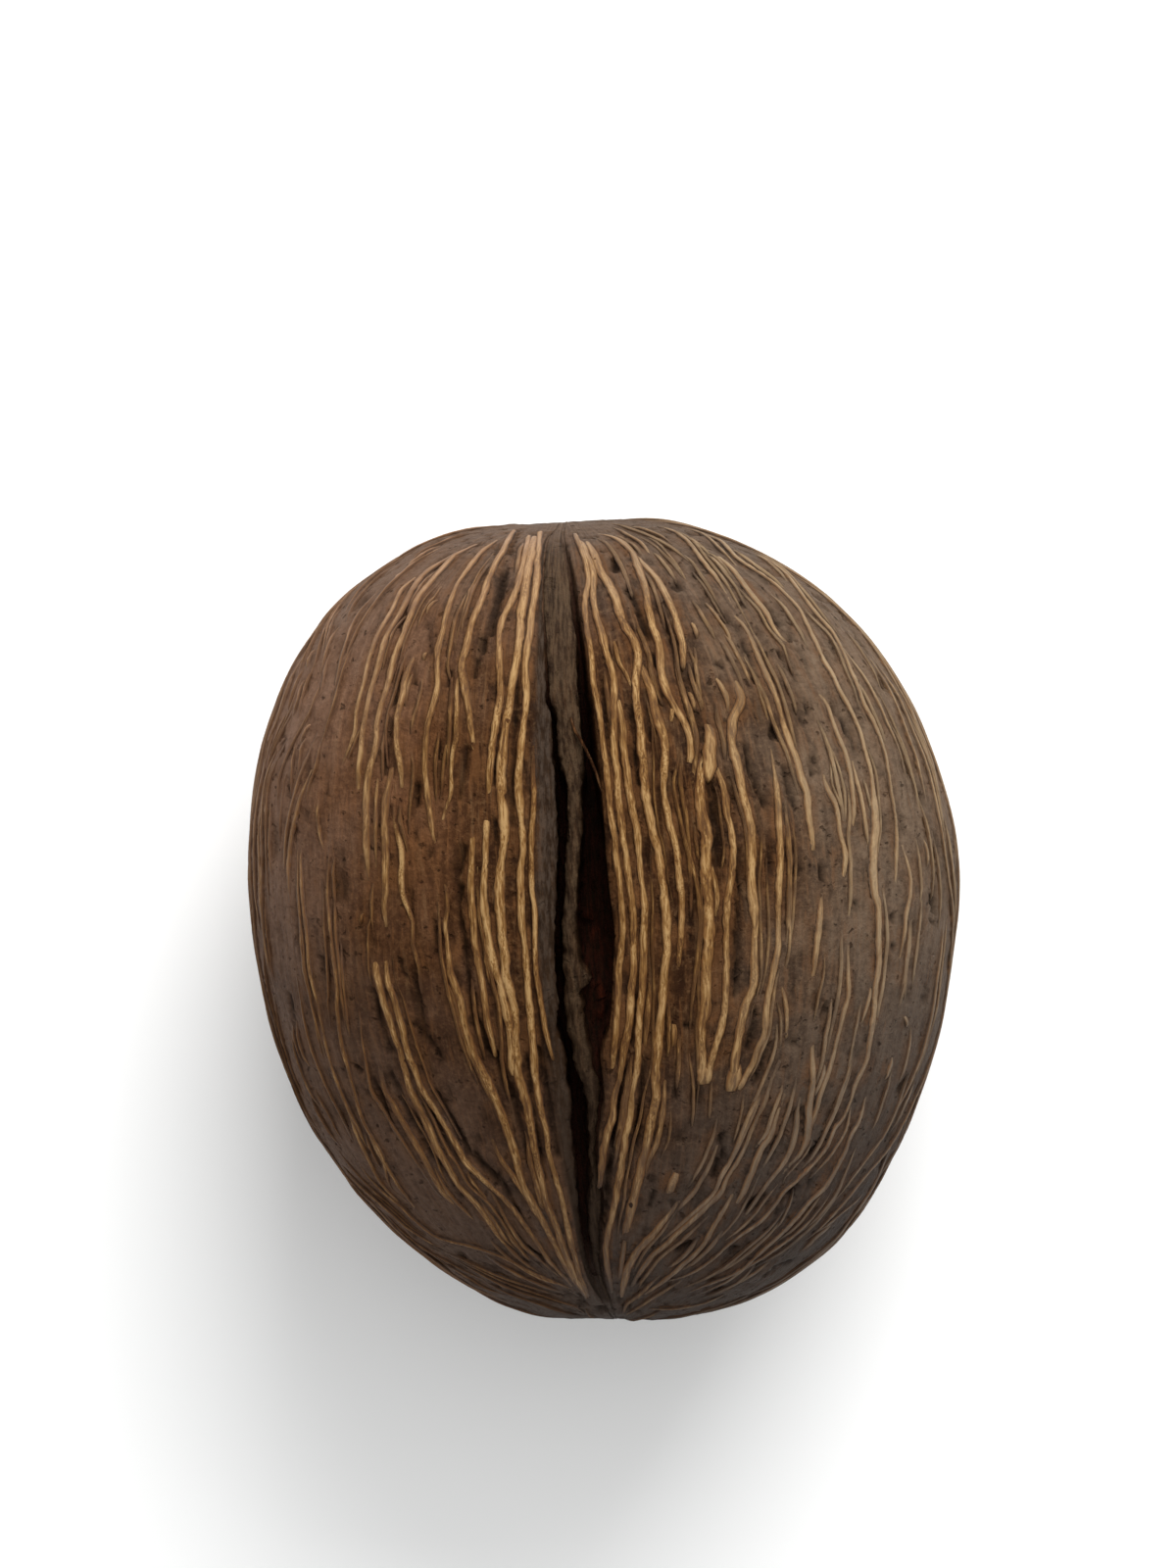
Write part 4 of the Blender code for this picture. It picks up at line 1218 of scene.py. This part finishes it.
def husk_grid(height):
    """Angle, depth below the skin and furrow zone of the husk's points, ring by ring."""
    across, depth = map(finer, furrow_lines(height))
    furrow_angle = angle_at(across, height[:, None])
    t = np.arange(1, SKIN_COLUMNS + 1) / (SKIN_COLUMNS + 1)
    place = t - BACK_THINNING * np.sin(math.tau * t) / math.tau
    first, last = furrow_angle[:, -1:], furrow_angle[:, :1] + math.tau
    angle = np.hstack([furrow_angle, first + (last - first) * place])
    depth = np.hstack([depth, np.zeros((len(height), SKIN_COLUMNS))]).ravel()
    zone = np.vstack([finer(np.array(FURROW_ZONES, float).T).T, np.zeros((SKIN_COLUMNS, 3))])
    zone = np.tile(zone, (len(height), 1)) * smooth(depth / ZONE_DEPTH)[:, None]
    # The split's colour comes in with depth: its tissue's own dark red, and painted shade deeper down
    zone[:, 1] *= smooth(depth / SPLIT_DEPTH)
    return angle, depth, zone


def husk_skin(points, fibres):
    """How far the husk rises from the smooth skin, how near a fibre is, and how dark its pores and
    grooves are painted as shade.
    """
    relief, near = husk_relief(points, fibres)
    grooved, deep = drawn_marks(points, FACE_GROOVES)
    pores = pore_marks(points) * (1 - near)
    crumbs = grain(points, CRUMB_SPAN, start=7.7) + 0.5 * grain(points, CRUMB_SPAN / 2, start=3.3)
    rise = relief + skin_swells(points) + CRUMB_HEIGHT * crumbs
    rise = rise - PORE_DEPTH * pores - deep * grooved
    return rise, near, np.maximum(PORE_PAINTED_SHADE * pores, grooved)


def make_husk(fibres):
    """The corky husk: a sphere whose rings and lines follow the furrow and the skin."""
    height = np.cos(np.pi * np.arange(1, HUSK_RINGS) / HUSK_RINGS)
    angle, depth, zone = husk_grid(height)
    columns = angle.shape[1]
    tall = np.repeat(height, columns)
    points, outward = skin(angle.ravel(), tall)
    rise, near, pores = husk_skin(points, fibres)
    tissue, tissue_height = drawn_marks(points, FURROW_TISSUE)
    tissue = tissue * (zone[:, 1] > 0.5)
    depth = np.maximum(depth - tissue * tissue_height, 0.0)
    inside = zone.sum(axis=1)
    points = points + outward * (rise * (1 - inside))[:, None] + inward(tall) * depth[:, None]
    fuzz = grain(points, FUZZ_SPAN, start=1.9) + 0.6 * grain(points, FUZZ_SPAN / 3, start=4.2)
    points[:, 0] += FUZZ_REACH * fuzz * inside * smooth(depth / FUZZ_DEPTH)
    piece, ring, segment = sphere_grid(columns, HUSK_RINGS)
    piece.name = "husk"
    row = np.clip(ring - 1, 0, len(height) - 1) * columns + segment
    ends, _ = skin(np.zeros(2), np.array([1.0, -1.0]))
    placed = points[row]
    placed[ring == 0] = ends[0]
    placed[ring == HUSK_RINGS] = ends[1]
    values = {
        "zone": zone[row],
        "near_fibre": (near * (1 - inside))[row],
        # Pores and grooves, painted dark as shade in their hollows
        "pores": (pores * (1 - inside))[row],
        "tissue": tissue[row],
    }
    shape(piece, placed, values)
    return piece


def straight_across(fibre):
    """How the angle and the height change, per metre, straight across a fibre at each point."""
    turned = (skin(fibre.angle + NUDGE, fibre.height)[0] - fibre.points) / NUDGE
    moved = (skin(fibre.angle, fibre.height + NUDGE)[0] - fibre.points) / NUDGE
    course = np.gradient(fibre.points, axis=0)
    course /= np.linalg.norm(course, axis=1, keepdims=True)
    beside = np.cross(course, fibre.outward)
    beside /= np.linalg.norm(beside, axis=1, keepdims=True)
    aa, bb = (turned * turned).sum(axis=1), (moved * moved).sum(axis=1)
    ab = (turned * moved).sum(axis=1)
    sa, sb = (beside * turned).sum(axis=1), (beside * moved).sum(axis=1)
    span = np.maximum(aa * bb - ab * ab, LEAST_AREA)
    return (sa * bb - sb * ab) / span, (sb * aa - sa * ab) / span


def make_fibre(fibre):
    """One fibre: a sphere drawn out along its course, low and flat, half sunk in the skin."""
    rings = len(fibre.points) - 1
    piece, ring, segment = sphere_grid(fibre.sides, rings)
    tip = (ring == 0) | (ring == rings)
    around = math.tau * segment / fibre.sides
    side = np.cos(around)
    along, show = fibre.along[ring], fibre.show[ring]
    edge = np.where(side > 0, 0.0, OTHER_EDGE_KEY) + fibre.key
    wobble = EDGE_WOBBLE * grain_along(along, EDGE_WOBBLE_SPAN, edge, edge)
    wobble += EDGE_RAGGING * grain_along(along, EDGE_RAGGING_SPAN, edge, -edge)
    wander = FIBRE_WANDER * grain_along(along, WANDER_SPAN, 0, fibre.key)
    offset = side * FIBRE_SKIRT * fibre.half[ring] * (1 + wobble) * ~tip + wander
    turn, move = straight_across(fibre)
    height = fibre.height[ring] + move[ring] * offset
    height = np.clip(height, -HEIGHT_ALMOST_END, HEIGHT_ALMOST_END)
    points, outward = skin(fibre.angle[ring] + turn[ring] * offset, height)
    top = np.maximum(np.sin(around), 0) ** 2 * FIBRE_CROWN * show
    root = np.minimum(np.sin(around), 0) * FIBRE_ROOT
    base = RIDGE_HEIGHT * show * np.exp(-((offset / RIDGE_SPREAD) ** 2)) - FIBRE_SINK
    level = base + (top + root) * ~tip - FIBRE_ROOT * tip
    level += SWELLS_UNDER * skin_swells(points) - fibre.sunk
    values = {"side": side * ~tip, "along": along, "tone": fibre.tone[ring], "show": show}
    shape(piece, points + outward * level[:, None], values)
    return piece


def make_fibres(name, fibres):
    """All these fibres as one piece."""
    pieces = [make_fibre(fibre) for fibre in fibres]
    clear_selection()
    for piece in pieces:
        piece.select_set(True)
    bpy.context.view_layer.objects.active = pieces[0]
    bpy.ops.object.join()
    pieces[0].name = name
    return pieces[0]


class Output:
    """A node's output, which adds, subtracts, multiplies and divides as a number does."""

    def __init__(self, finish, socket):
        self.finish = finish
        self.socket = socket

    def math(self, operation, first, second):
        """A Math node's output."""
        return self.finish.node("ShaderNodeMath", {"operation": operation}, {0: first, 1: second})

    def __add__(self, other):
        return self.math("ADD", self, other)

    def __radd__(self, other):
        return self.math("ADD", other, self)

    def __sub__(self, other):
        return self.math("SUBTRACT", self, other)

    def __rsub__(self, other):
        return self.math("SUBTRACT", other, self)

    def __mul__(self, other):
        return self.math("MULTIPLY", self, other)

    def __rmul__(self, other):
        return self.math("MULTIPLY", other, self)

    def __truediv__(self, other):
        return self.math("DIVIDE", self, other)

    def __rtruediv__(self, other):
        return self.math("DIVIDE", other, self)


class Finish:
    """A material under construction."""

    def __init__(self, name):
        self.material = bpy.data.materials.new(name)
        self.material.use_nodes = True
        self.tree = self.material.node_tree
        self.shader = self.tree.nodes["Principled BSDF"]

    def node(self, kind, settings, sockets, output=0):
        """Adds a node with its settings, then the values or links of its sockets."""
        made = self.tree.nodes.new(kind)
        for name, value in settings.items():
            setattr(made, name, value)
        self.feed(made, sockets)
        return Output(self, made.outputs[output])

    def feed(self, node, sockets):
        """Gives a node's sockets their values or links."""
        for name, value in sockets.items():
            if isinstance(value, Output):
                self.tree.links.new(value.socket, node.inputs[name])
            else:
                node.inputs[name].default_value = value

    def place(self):
        """The place on the piece, in metres."""
        return self.node("ShaderNodeTexCoord", {}, {}, "Object")

    def stored(self, name, output="Fac"):
        """A value that the piece stores for each of its points."""
        return self.node("ShaderNodeAttribute", {"attribute_name": name}, {}, output)

    def parts(self, vector):
        """A vector's x, y and z."""
        return [self.node("ShaderNodeSeparateXYZ", {}, {0: vector}, axis) for axis in "XYZ"]

    def join(self, x, y, z):
        """A vector of x, y and z."""
        return self.node("ShaderNodeCombineXYZ", {}, {0: x, 1: y, 2: z})

    def noise(self, vector, span, detail=3.0, roughness=0.5):
        """Noise from 0 to 1 with humps about a span across."""
        sockets = {"Vector": vector, "Scale": 1 / span, "Detail": detail, "Roughness": roughness}
        return self.node("ShaderNodeTexNoise", {}, sockets)

    def between(self, value, low, high):
        """0 where the value is low, 1 where it is high, smooth between."""
        sockets = {0: value, 1: low, 2: high}
        return self.node("ShaderNodeMapRange", {"interpolation_type": "SMOOTHSTEP"}, sockets)

    def blend(self, factor, first, second):
        """One colour going over into another."""
        sockets = {"Factor": factor, 6: first, 7: second}
        return self.node("ShaderNodeMix", {"data_type": "RGBA"}, sockets, 2)

    def bump(self, height, distance):
        """A surface that seems to rise and sink by up to a distance."""
        sockets = {"Strength": 1.0, "Distance": distance, "Height": height}
        return self.node("ShaderNodeBump", {}, sockets)


def colour(red, green, blue):
    """A colour given as a screen shows it, from 0 to 255, for a socket."""
    shown_parts = (red / 255, green / 255, blue / 255)
    return (*(v / 12.92 if v < 0.04045 else ((v + 0.055) / 1.055) ** 2.4 for v in shown_parts), 1.0)


PITH_DARK = colour(39, 21, 9)
PITH_MID = colour(70, 45, 25)
PITH_LIGHT = colour(100, 75, 50)
# Painted shade in pores, grooves and the deep splits
PAINTED_HOLLOW_SHADE = colour(15, 7, 3)
PITH_RUST = colour(90, 58, 32)
# Painted light on the pith's left side
PAINTED_LEFT_LIGHT = colour(120, 78, 48)
# Painted light: a grey sheen toward the rims, reddish on the left and warm on the right, a cool
# reflection at the lower right, duller on top, and painted shade in it toward the low end
RIM_SHEEN_RED = colour(126, 99, 82)
RIM_SHEEN_WARM = colour(105, 88, 72)
COOL_REFLECTION_GREY = colour(66, 59, 54)
TOP_SHEEN_GREY = colour(86, 73, 62)
LOW_SHADED_SHEEN = colour(46, 33, 24)
# Painted shade in the dents beside the fibres and at their rims
PAINTED_MOAT_SHADE = colour(27, 14, 6)
SPLIT_RED = colour(38, 14, 7)
TISSUE_RED = colour(66, 27, 13)
LIP_BROWN = colour(60, 50, 42)
LIP_DARK = colour(34, 24, 16)
WALL_BROWN = colour(71, 56, 41)
FIBRE_BRIGHT = colour(160, 127, 83)
FIBRE_MID = colour(116, 82, 42)
FIBRE_DULL = colour(80, 52, 27)
FIBRE_EDGE = colour(88, 55, 26)
# A painted grey sheen on the fibres toward the rims, and its painted cool reflection
FIBRE_SHEEN_RED = colour(146, 116, 93)
FIBRE_SHEEN_WARM = colour(140, 120, 94)
FIBRE_COOL_REFLECTION = colour(100, 90, 80)
AXIS_LEVEL = -REST_LEVEL

# Spans of the finishes' grain
PITH_PATCHES = 7 * MM
PITH_STREAKS = 0.8 * MM
PITH_LINES = 0.5 * MM
PITH_CRUMBS = 0.6 * MM
PITH_PORES = 0.9 * MM
# Patches of the painted rim sheen
RIM_SHEEN_PATCHES = 9 * MM
WARM_PATCHES = 2.4 * MM
LIP_FUZZ = 0.45 * MM
THREAD_LENGTH = 6 * MM
FIBRE_SPOTS = 1.0 * MM
FIBRE_FLECKS = 0.3 * MM
PITH_BUMP = 0.3 * MM
FIBRE_BUMP = 0.15 * MM

# How far that grain is drawn out along the fibres
PITH_RUN = 7.0
LIP_RUN = 4.0
SPOT_RUN = 3.0
FLECK_RUN = 6.0
THREADS_ACROSS = 3.4
THREADS_PER_TONE = 40

# Where each look of the pith begins and is full
PITH_TONES = (0.42, 0.59)
LIGHT_CRUMBS = (0.5, 0.72)
LIGHT_STREAKS = (0.55, 0.7)
RUST_LINES = (0.54, 0.66)
DARK_LINES = (0.44, 0.34)
SMALL_PORES = (0.38, 0.27)
WARM_BESIDE = (0.32, 0.6)
# Painted shade beside the fibres
PAINTED_SHADE_BESIDE = (0.56, 0.32)
LIP_SPECKLES = (0.38, 0.63)

# Where each mask of the painted light begins and is full: the painted grey sheen toward the rims, its
# cool reflection, the shade at the low end, the sheen on top, and the right and left sides
RIM_SHEEN_RANGE = (0.3, 1.0)
COOL_REFLECTION_SIDE = (-0.2, -1.0)
LOW_SHADE_END = (0.1, -0.7)
TOP_SHEEN_END = (0.45, 0.8)
RIGHT_SIDE = (-0.3, 0.5)
LEFT_LIGHT_SIDE = (-0.2, -0.5)

# Where each look of a fibre begins and is full
MID_LIGHT = (0.0, 0.8)
BRIGHT_LIGHT = (0.55, 1.5)
RIM_BROWN = (0.1, 0.6)
RIM_PITH = (0.5, 0.95)
WORN_AWAY = (1.6, 0.75)


def along_fibres(finish, place, stretch):
    """The place on the skin, drawn out along the fibres' run from end to end."""
    x, y, z = finish.parts(place)
    x, z = x - AXIS_X, z - AXIS_LEVEL
    radius = finish.node("ShaderNodeMath", {"operation": "SQRT"}, {0: x * x + z * z + 1e-6})
    return finish.join(x / radius * HALF_WIDTH, y / stretch, z / radius * HALF_WIDTH)


def painted_light_masks(finish, place):
    """Where the painted light goes at a place: the painted grey sheen toward the rims, its painted
    cool reflection at the lower right, the painted shade at the low end, the duller sheen on top, and
    the right side and the left side, which painted light lightens.
    """
    x, y, z = finish.parts(place)
    x, y, z = (x - AXIS_X) / HALF_WIDTH, (y - WIDEST_Y) / STEM_REACH, (z - AXIS_LEVEL) / HALF_DEPTH
    # The painted sheen grows toward the rims, away from the middle of the upper face
    away = x * x * 0.9 + y * y - y * 0.2 + finish.noise(place, RIM_SHEEN_PATCHES) * 0.7 - z * 0.15
    return SimpleNamespace(
        strength=finish.between(away + x * 0.15, *RIM_SHEEN_RANGE),
        cool_reflection=finish.between(y * 0.9 - x * 0.4, *COOL_REFLECTION_SIDE),
        low=finish.between(y + x * 0.4, *LOW_SHADE_END),
        high=finish.between(y, *TOP_SHEEN_END),
        right=finish.between(x, *RIGHT_SIDE),
        left=finish.between(x, *LEFT_LIGHT_SIDE),
    )


def bare_pith(finish, place):
    """The corky pith's colour before it weathers, with its streaks, lines and crumbs."""
    run = along_fibres(finish, place, PITH_RUN)
    patches = finish.noise(place, PITH_PATCHES)
    streaks = finish.noise(run, PITH_STREAKS, detail=4.0, roughness=0.62)
    lines = finish.noise(run, PITH_LINES, detail=2.0)
    crumbs = finish.noise(place, PITH_CRUMBS, detail=5.0, roughness=0.75)
    tone = finish.between(streaks * 0.4 + patches * 0.25 + crumbs * 0.35, *PITH_TONES)
    rust = finish.between(lines + (patches - 0.5) * 0.3, *RUST_LINES)
    shade = finish.blend(tone, PITH_DARK, PITH_MID)
    shade = finish.blend(finish.between(crumbs, *LIGHT_CRUMBS) * 0.55, shade, PITH_LIGHT)
    shade = finish.blend(finish.between(streaks, *LIGHT_STREAKS) * 0.5, shade, PITH_LIGHT)
    shade = finish.blend(rust * 0.65, shade, PITH_RUST)
    shade = finish.blend(finish.between(lines, *DARK_LINES) * 0.6, shade, PITH_DARK)
    return shade, streaks, lines, crumbs


def pith_colour(finish, place, painted_light):
    """The corky pith's colour with painted light on its left side, painted shade toward the low end
    and a painted grey sheen toward the rims, and the height of its grain.
    """
    shade, streaks, lines, crumbs = bare_pith(finish, place)
    # Painted light: the pith is lightened on the left side
    shade = finish.blend(painted_light.left * (1.0 - painted_light.low) * (crumbs * 0.7), shade, PAINTED_LEFT_LIGHT)
    # Painted shade: the pith is darkened toward the low end
    shade = finish.blend(painted_light.low * 0.45, shade, PITH_DARK)
    # Painted grey sheen toward the rims: duller on top, with painted shade toward the low end and a
    # painted cool reflection at the lower right
    sheen_colour = finish.blend(painted_light.right, RIM_SHEEN_RED, RIM_SHEEN_WARM)
    sheen_colour = finish.blend(painted_light.high * 0.7, sheen_colour, TOP_SHEEN_GREY)
    sheen_colour = finish.blend(painted_light.low * 0.55, sheen_colour, LOW_SHADED_SHEEN)
    sheen_colour = finish.blend(painted_light.cool_reflection, sheen_colour, COOL_REFLECTION_GREY)
    sheen_cover = painted_light.strength * (0.1 + crumbs * 1.2 + (streaks - 0.5))
    return finish.blend(sheen_cover, shade, sheen_colour), crumbs * 0.8 + streaks * 0.6 + lines * 0.2


def pored_pith(finish, place, shade, pores):
    """The pith with its pores and grooves painted dark as shade in their hollows, warm flecks beside
    the fibres, and painted shade in the dents beside them.
    """
    near = finish.stored("near_fibre")
    warm = finish.noise(place, WARM_PATCHES)
    # The pith's small pores painted dark, as shade in their hollows
    shade = finish.blend(pores * 0.6, shade, PAINTED_HOLLOW_SHADE)
    shade = finish.blend(near * finish.between(warm, *WARM_BESIDE) * 0.6, shade, PITH_RUST)
    # Painted shade in the dents beside the fibres
    shade = finish.blend(near * finish.between(warm, *PAINTED_SHADE_BESIDE) * 0.6, shade, PAINTED_MOAT_SHADE)
    # The husk's pores and grooves painted dark, as shade in their hollows
    return finish.blend(finish.stored("pores") * 0.9, shade, PAINTED_HOLLOW_SHADE)


def husk_finish():
    """Dark corky pith, with greyer lips and wall and dark red splits in the furrow, painted darker
    toward the low end and with painted shade deep in the splits.
    """
    finish = Finish("corky_husk")
    place = finish.place()
    painted_light = painted_light_masks(finish, place)
    shade, height = pith_colour(finish, place, painted_light)
    pores = finish.between(finish.noise(place, PITH_PORES), *SMALL_PORES)
    shade = pored_pith(finish, place, shade, pores)
    lip, split, wall = finish.parts(finish.stored("zone", "Vector"))
    fuzz = finish.noise(along_fibres(finish, place, LIP_RUN), LIP_FUZZ, detail=4.0, roughness=0.65)
    speckle = finish.between(fuzz, *LIP_SPECKLES)
    # Lip and wall painted darker toward the low end, as painted shade
    speckle_with_low_shade = speckle * (1.0 - painted_light.low * 0.6)
    lip_shade = finish.blend(speckle_with_low_shade, LIP_DARK, LIP_BROWN)
    wall_shade = finish.blend(speckle_with_low_shade, LIP_DARK, WALL_BROWN)
    # The split's dark red tissue, speckled with painted shade
    split_tissue_and_shade = finish.blend(speckle, PAINTED_HOLLOW_SHADE, SPLIT_RED)
    tissue_shade = finish.blend(speckle, SPLIT_RED, TISSUE_RED)
    shade = finish.blend(lip * 0.85, shade, lip_shade)
    shade = finish.blend(wall * 0.8, shade, wall_shade)
    shade = finish.blend(split * 0.92, shade, split_tissue_and_shade)
    shade = finish.blend(finish.stored("tissue") * 0.9, shade, tissue_shade)
    sockets = {
        "Base Color": shade,
        "Roughness": 0.55 + pores * 0.3 + fuzz * 0.1,
        "Specular IOR Level": 0.03,
        "Normal": finish.bump((height - pores * 0.5) * (1.0 - lip * 0.6), PITH_BUMP),
    }
    finish.feed(finish.shader, sockets)
    return finish.material


def tan_colour(finish, lit, painted_light, spots):
    """A fibre's tan, greyed by a painted sheen toward the rims, with a painted cool reflection and
    painted shade toward the low end.
    """
    shade = finish.blend(finish.between(lit, *MID_LIGHT), FIBRE_DULL, FIBRE_MID)
    shade = finish.blend(finish.between(lit, *BRIGHT_LIGHT), shade, FIBRE_BRIGHT)
    # Painted grey sheen, with painted shade toward the low end and a painted cool reflection at the
    # lower right
    sheen_colour = finish.blend(painted_light.right, FIBRE_SHEEN_RED, FIBRE_SHEEN_WARM)
    sheen_colour = finish.blend(painted_light.low * 0.5, sheen_colour, FIBRE_DULL)
    sheen_colour = finish.blend(painted_light.cool_reflection, sheen_colour, FIBRE_COOL_REFLECTION)
    # Less painted sheen at the lower left
    less_sheen = painted_light.low * (1.0 - painted_light.right) * 0.7
    return finish.blend(painted_light.strength * (0.2 + spots) * (1.0 - less_sheen), shade, sheen_colour)


def fibre_finish():
    """Tan, threaded fibre that turns to pith and painted shade at its rims, and to pith where it is
    worn.
    """
    finish = Finish("tan_fibre")
    place = finish.place()
    painted_light = painted_light_masks(finish, place)
    pith, pith_height = pith_colour(finish, place, painted_light)
    side, along, tone, show = map(finish.stored, ("side", "along", "tone", "show"))
    strand = finish.join(side * THREADS_ACROSS, along / THREAD_LENGTH, tone * THREADS_PER_TONE)
    threads = finish.noise(strand, 1.0, detail=4.0, roughness=0.65)
    spots = finish.noise(along_fibres(finish, place, SPOT_RUN), FIBRE_SPOTS, detail=4.0, roughness=0.6)
    fleck = finish.noise(along_fibres(finish, place, FLECK_RUN), FIBRE_FLECKS, detail=2.0)
    # The fibre's tone, darkened toward the low end as painted shade
    lit = tone - painted_light.low * 0.15 + (threads - 0.5) * 3.6 + (spots - 0.5) * 2.4 + (fleck - 0.5) * 2.0
    shade = tan_colour(finish, lit, painted_light, spots)
    rim = side * side + (threads - 0.5) * 0.7
    shade = finish.blend(finish.between(rim, *RIM_BROWN) * 0.75, shade, FIBRE_EDGE)
    worn = finish.between(show * 0.8 + tone * 0.8 + (spots + fleck) * 0.6, *WORN_AWAY)
    shade = finish.blend(worn * 0.85, shade, pith)
    # The fibre's rim goes over into pith and painted shade in the dent beside it
    rim_pith_and_shade = finish.blend(show * 0.3, pith, PAINTED_MOAT_SHADE)
    shade = finish.blend(finish.between(rim, *RIM_PITH), shade, rim_pith_and_shade)
    sockets = {
        "Base Color": shade,
        "Roughness": 0.42 + threads * 0.25,
        "Specular IOR Level": 0.08,
        "Normal": finish.bump(threads + fleck * 0.3 + pith_height * 0.4, FIBRE_BUMP),
    }
    finish.feed(finish.shader, sockets)
    return finish.material


def dress(piece, material):
    """Gives a piece its finish and fixes it to the stone."""
    piece.data.materials.clear()
    piece.data.materials.append(material)
    piece.data.shade_smooth()
    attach(piece, "root")


FURROW_END_GAP = 0.05
FURROW_PLACES = 120


def furrow_sides():
    """Heights down the furrow, and the angles of its left and right sides at each."""
    height = np.cos(np.linspace(FURROW_END_GAP, math.pi - FURROW_END_GAP, FURROW_PLACES))
    across, _ = furrow_lines(height)
    return height, angle_at(across[:, 0], height), angle_at(across[:, -1], height)


def make_stone():
    """The husk and all its fibres, in place of the plain solid."""
    face, furrow = face_fibres(), furrow_sides()
    field = fibre_field(face)
    back = back_fibres(field, furrow)
    beside = companion_fibres(face, field, furrow)
    fine = fine_fibres(field, furrow)
    husk = make_husk(face + back + beside + fine)
    cork, tan = husk_finish(), fibre_finish()
    dress(husk, cork)
    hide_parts("stone")
    dress(make_fibres("face_fibres", face), tan)
    dress(make_fibres("back_fibres", back), tan)
    dress(make_fibres("beside_fibres", beside), tan)
    dress(make_fibres("fine_fibres", fine), tan)
    dress(make_fibres("furrow_thread", [furrow_thread()]), cork)


FLOOR_SIZE = 4
FLOOR_GAP = 0.05 * MM
FLOOR_WHITE = (0.92, 0.92, 0.91, 1)
FLOOR_ROUGHNESS = 0.9
LIGHT_AIM = (0, 0, 0.03)
TOP_LIGHT = {"place": (0.24, 0.66, 0.54), "size": 0.6, "power": 10.0}
FILL_LIGHT = {"place": (0.1, 0.15, 0.9), "size": 0.9, "power": 2.2}
SKY_WHITE = (0.98, 0.99, 1.0, 1)
SKY_STRENGTH = 0.63
NEAREST_SEEN = 0.05


def make_floor():
    """A plain pale floor just under the stone."""
    clear_selection()
    bpy.ops.mesh.primitive_plane_add(size=FLOOR_SIZE, location=(0, 0, -FLOOR_GAP))
    floor = bpy.context.object
    floor.name = "floor"
    finish = Finish("pale_floor")
    finish.feed(finish.shader, {"Base Color": FLOOR_WHITE, "Roughness": FLOOR_ROUGHNESS})
    floor.data.materials.append(finish.material)


def soft_light(name, place, size, power):
    """A square lamp that shines at the stone."""
    turn = (Vector(LIGHT_AIM) - Vector(place)).to_track_quat("-Z", "Y").to_euler()
    bpy.ops.object.light_add(type="AREA", location=place, rotation=turn)
    lamp = bpy.context.object
    lamp.name = name
    lamp.data.size = size
    lamp.data.energy = power


def make_studio():
    """Two soft lamps and an even, pale sky."""
    soft_light("top_light", **TOP_LIGHT)
    soft_light("fill_light", **FILL_LIGHT)
    world = bpy.data.worlds.new("studio")
    world.use_nodes = True
    sky = world.node_tree.nodes["Background"]
    sky.inputs["Color"].default_value = SKY_WHITE
    sky.inputs["Strength"].default_value = SKY_STRENGTH
    bpy.context.scene.world = world
    bpy.context.scene.view_settings.view_transform = "Standard"


def make_camera():
    """The camera straight above the stone, as the photo was taken."""
    bpy.ops.object.camera_add(location=(*VIEW_OVER, VIEW_HEIGHT), rotation=(0, 0, -VIEW_ROLL))
    camera = bpy.context.object
    camera.data.sensor_width = SENSOR
    camera.data.lens = SENSOR * LENS_PX / PHOTO_HEIGHT
    camera.data.clip_start = NEAREST_SEEN
    bpy.context.scene.camera = camera


make_stone()
make_floor()
make_studio()
make_camera()
bpy.context.view_layer.update()
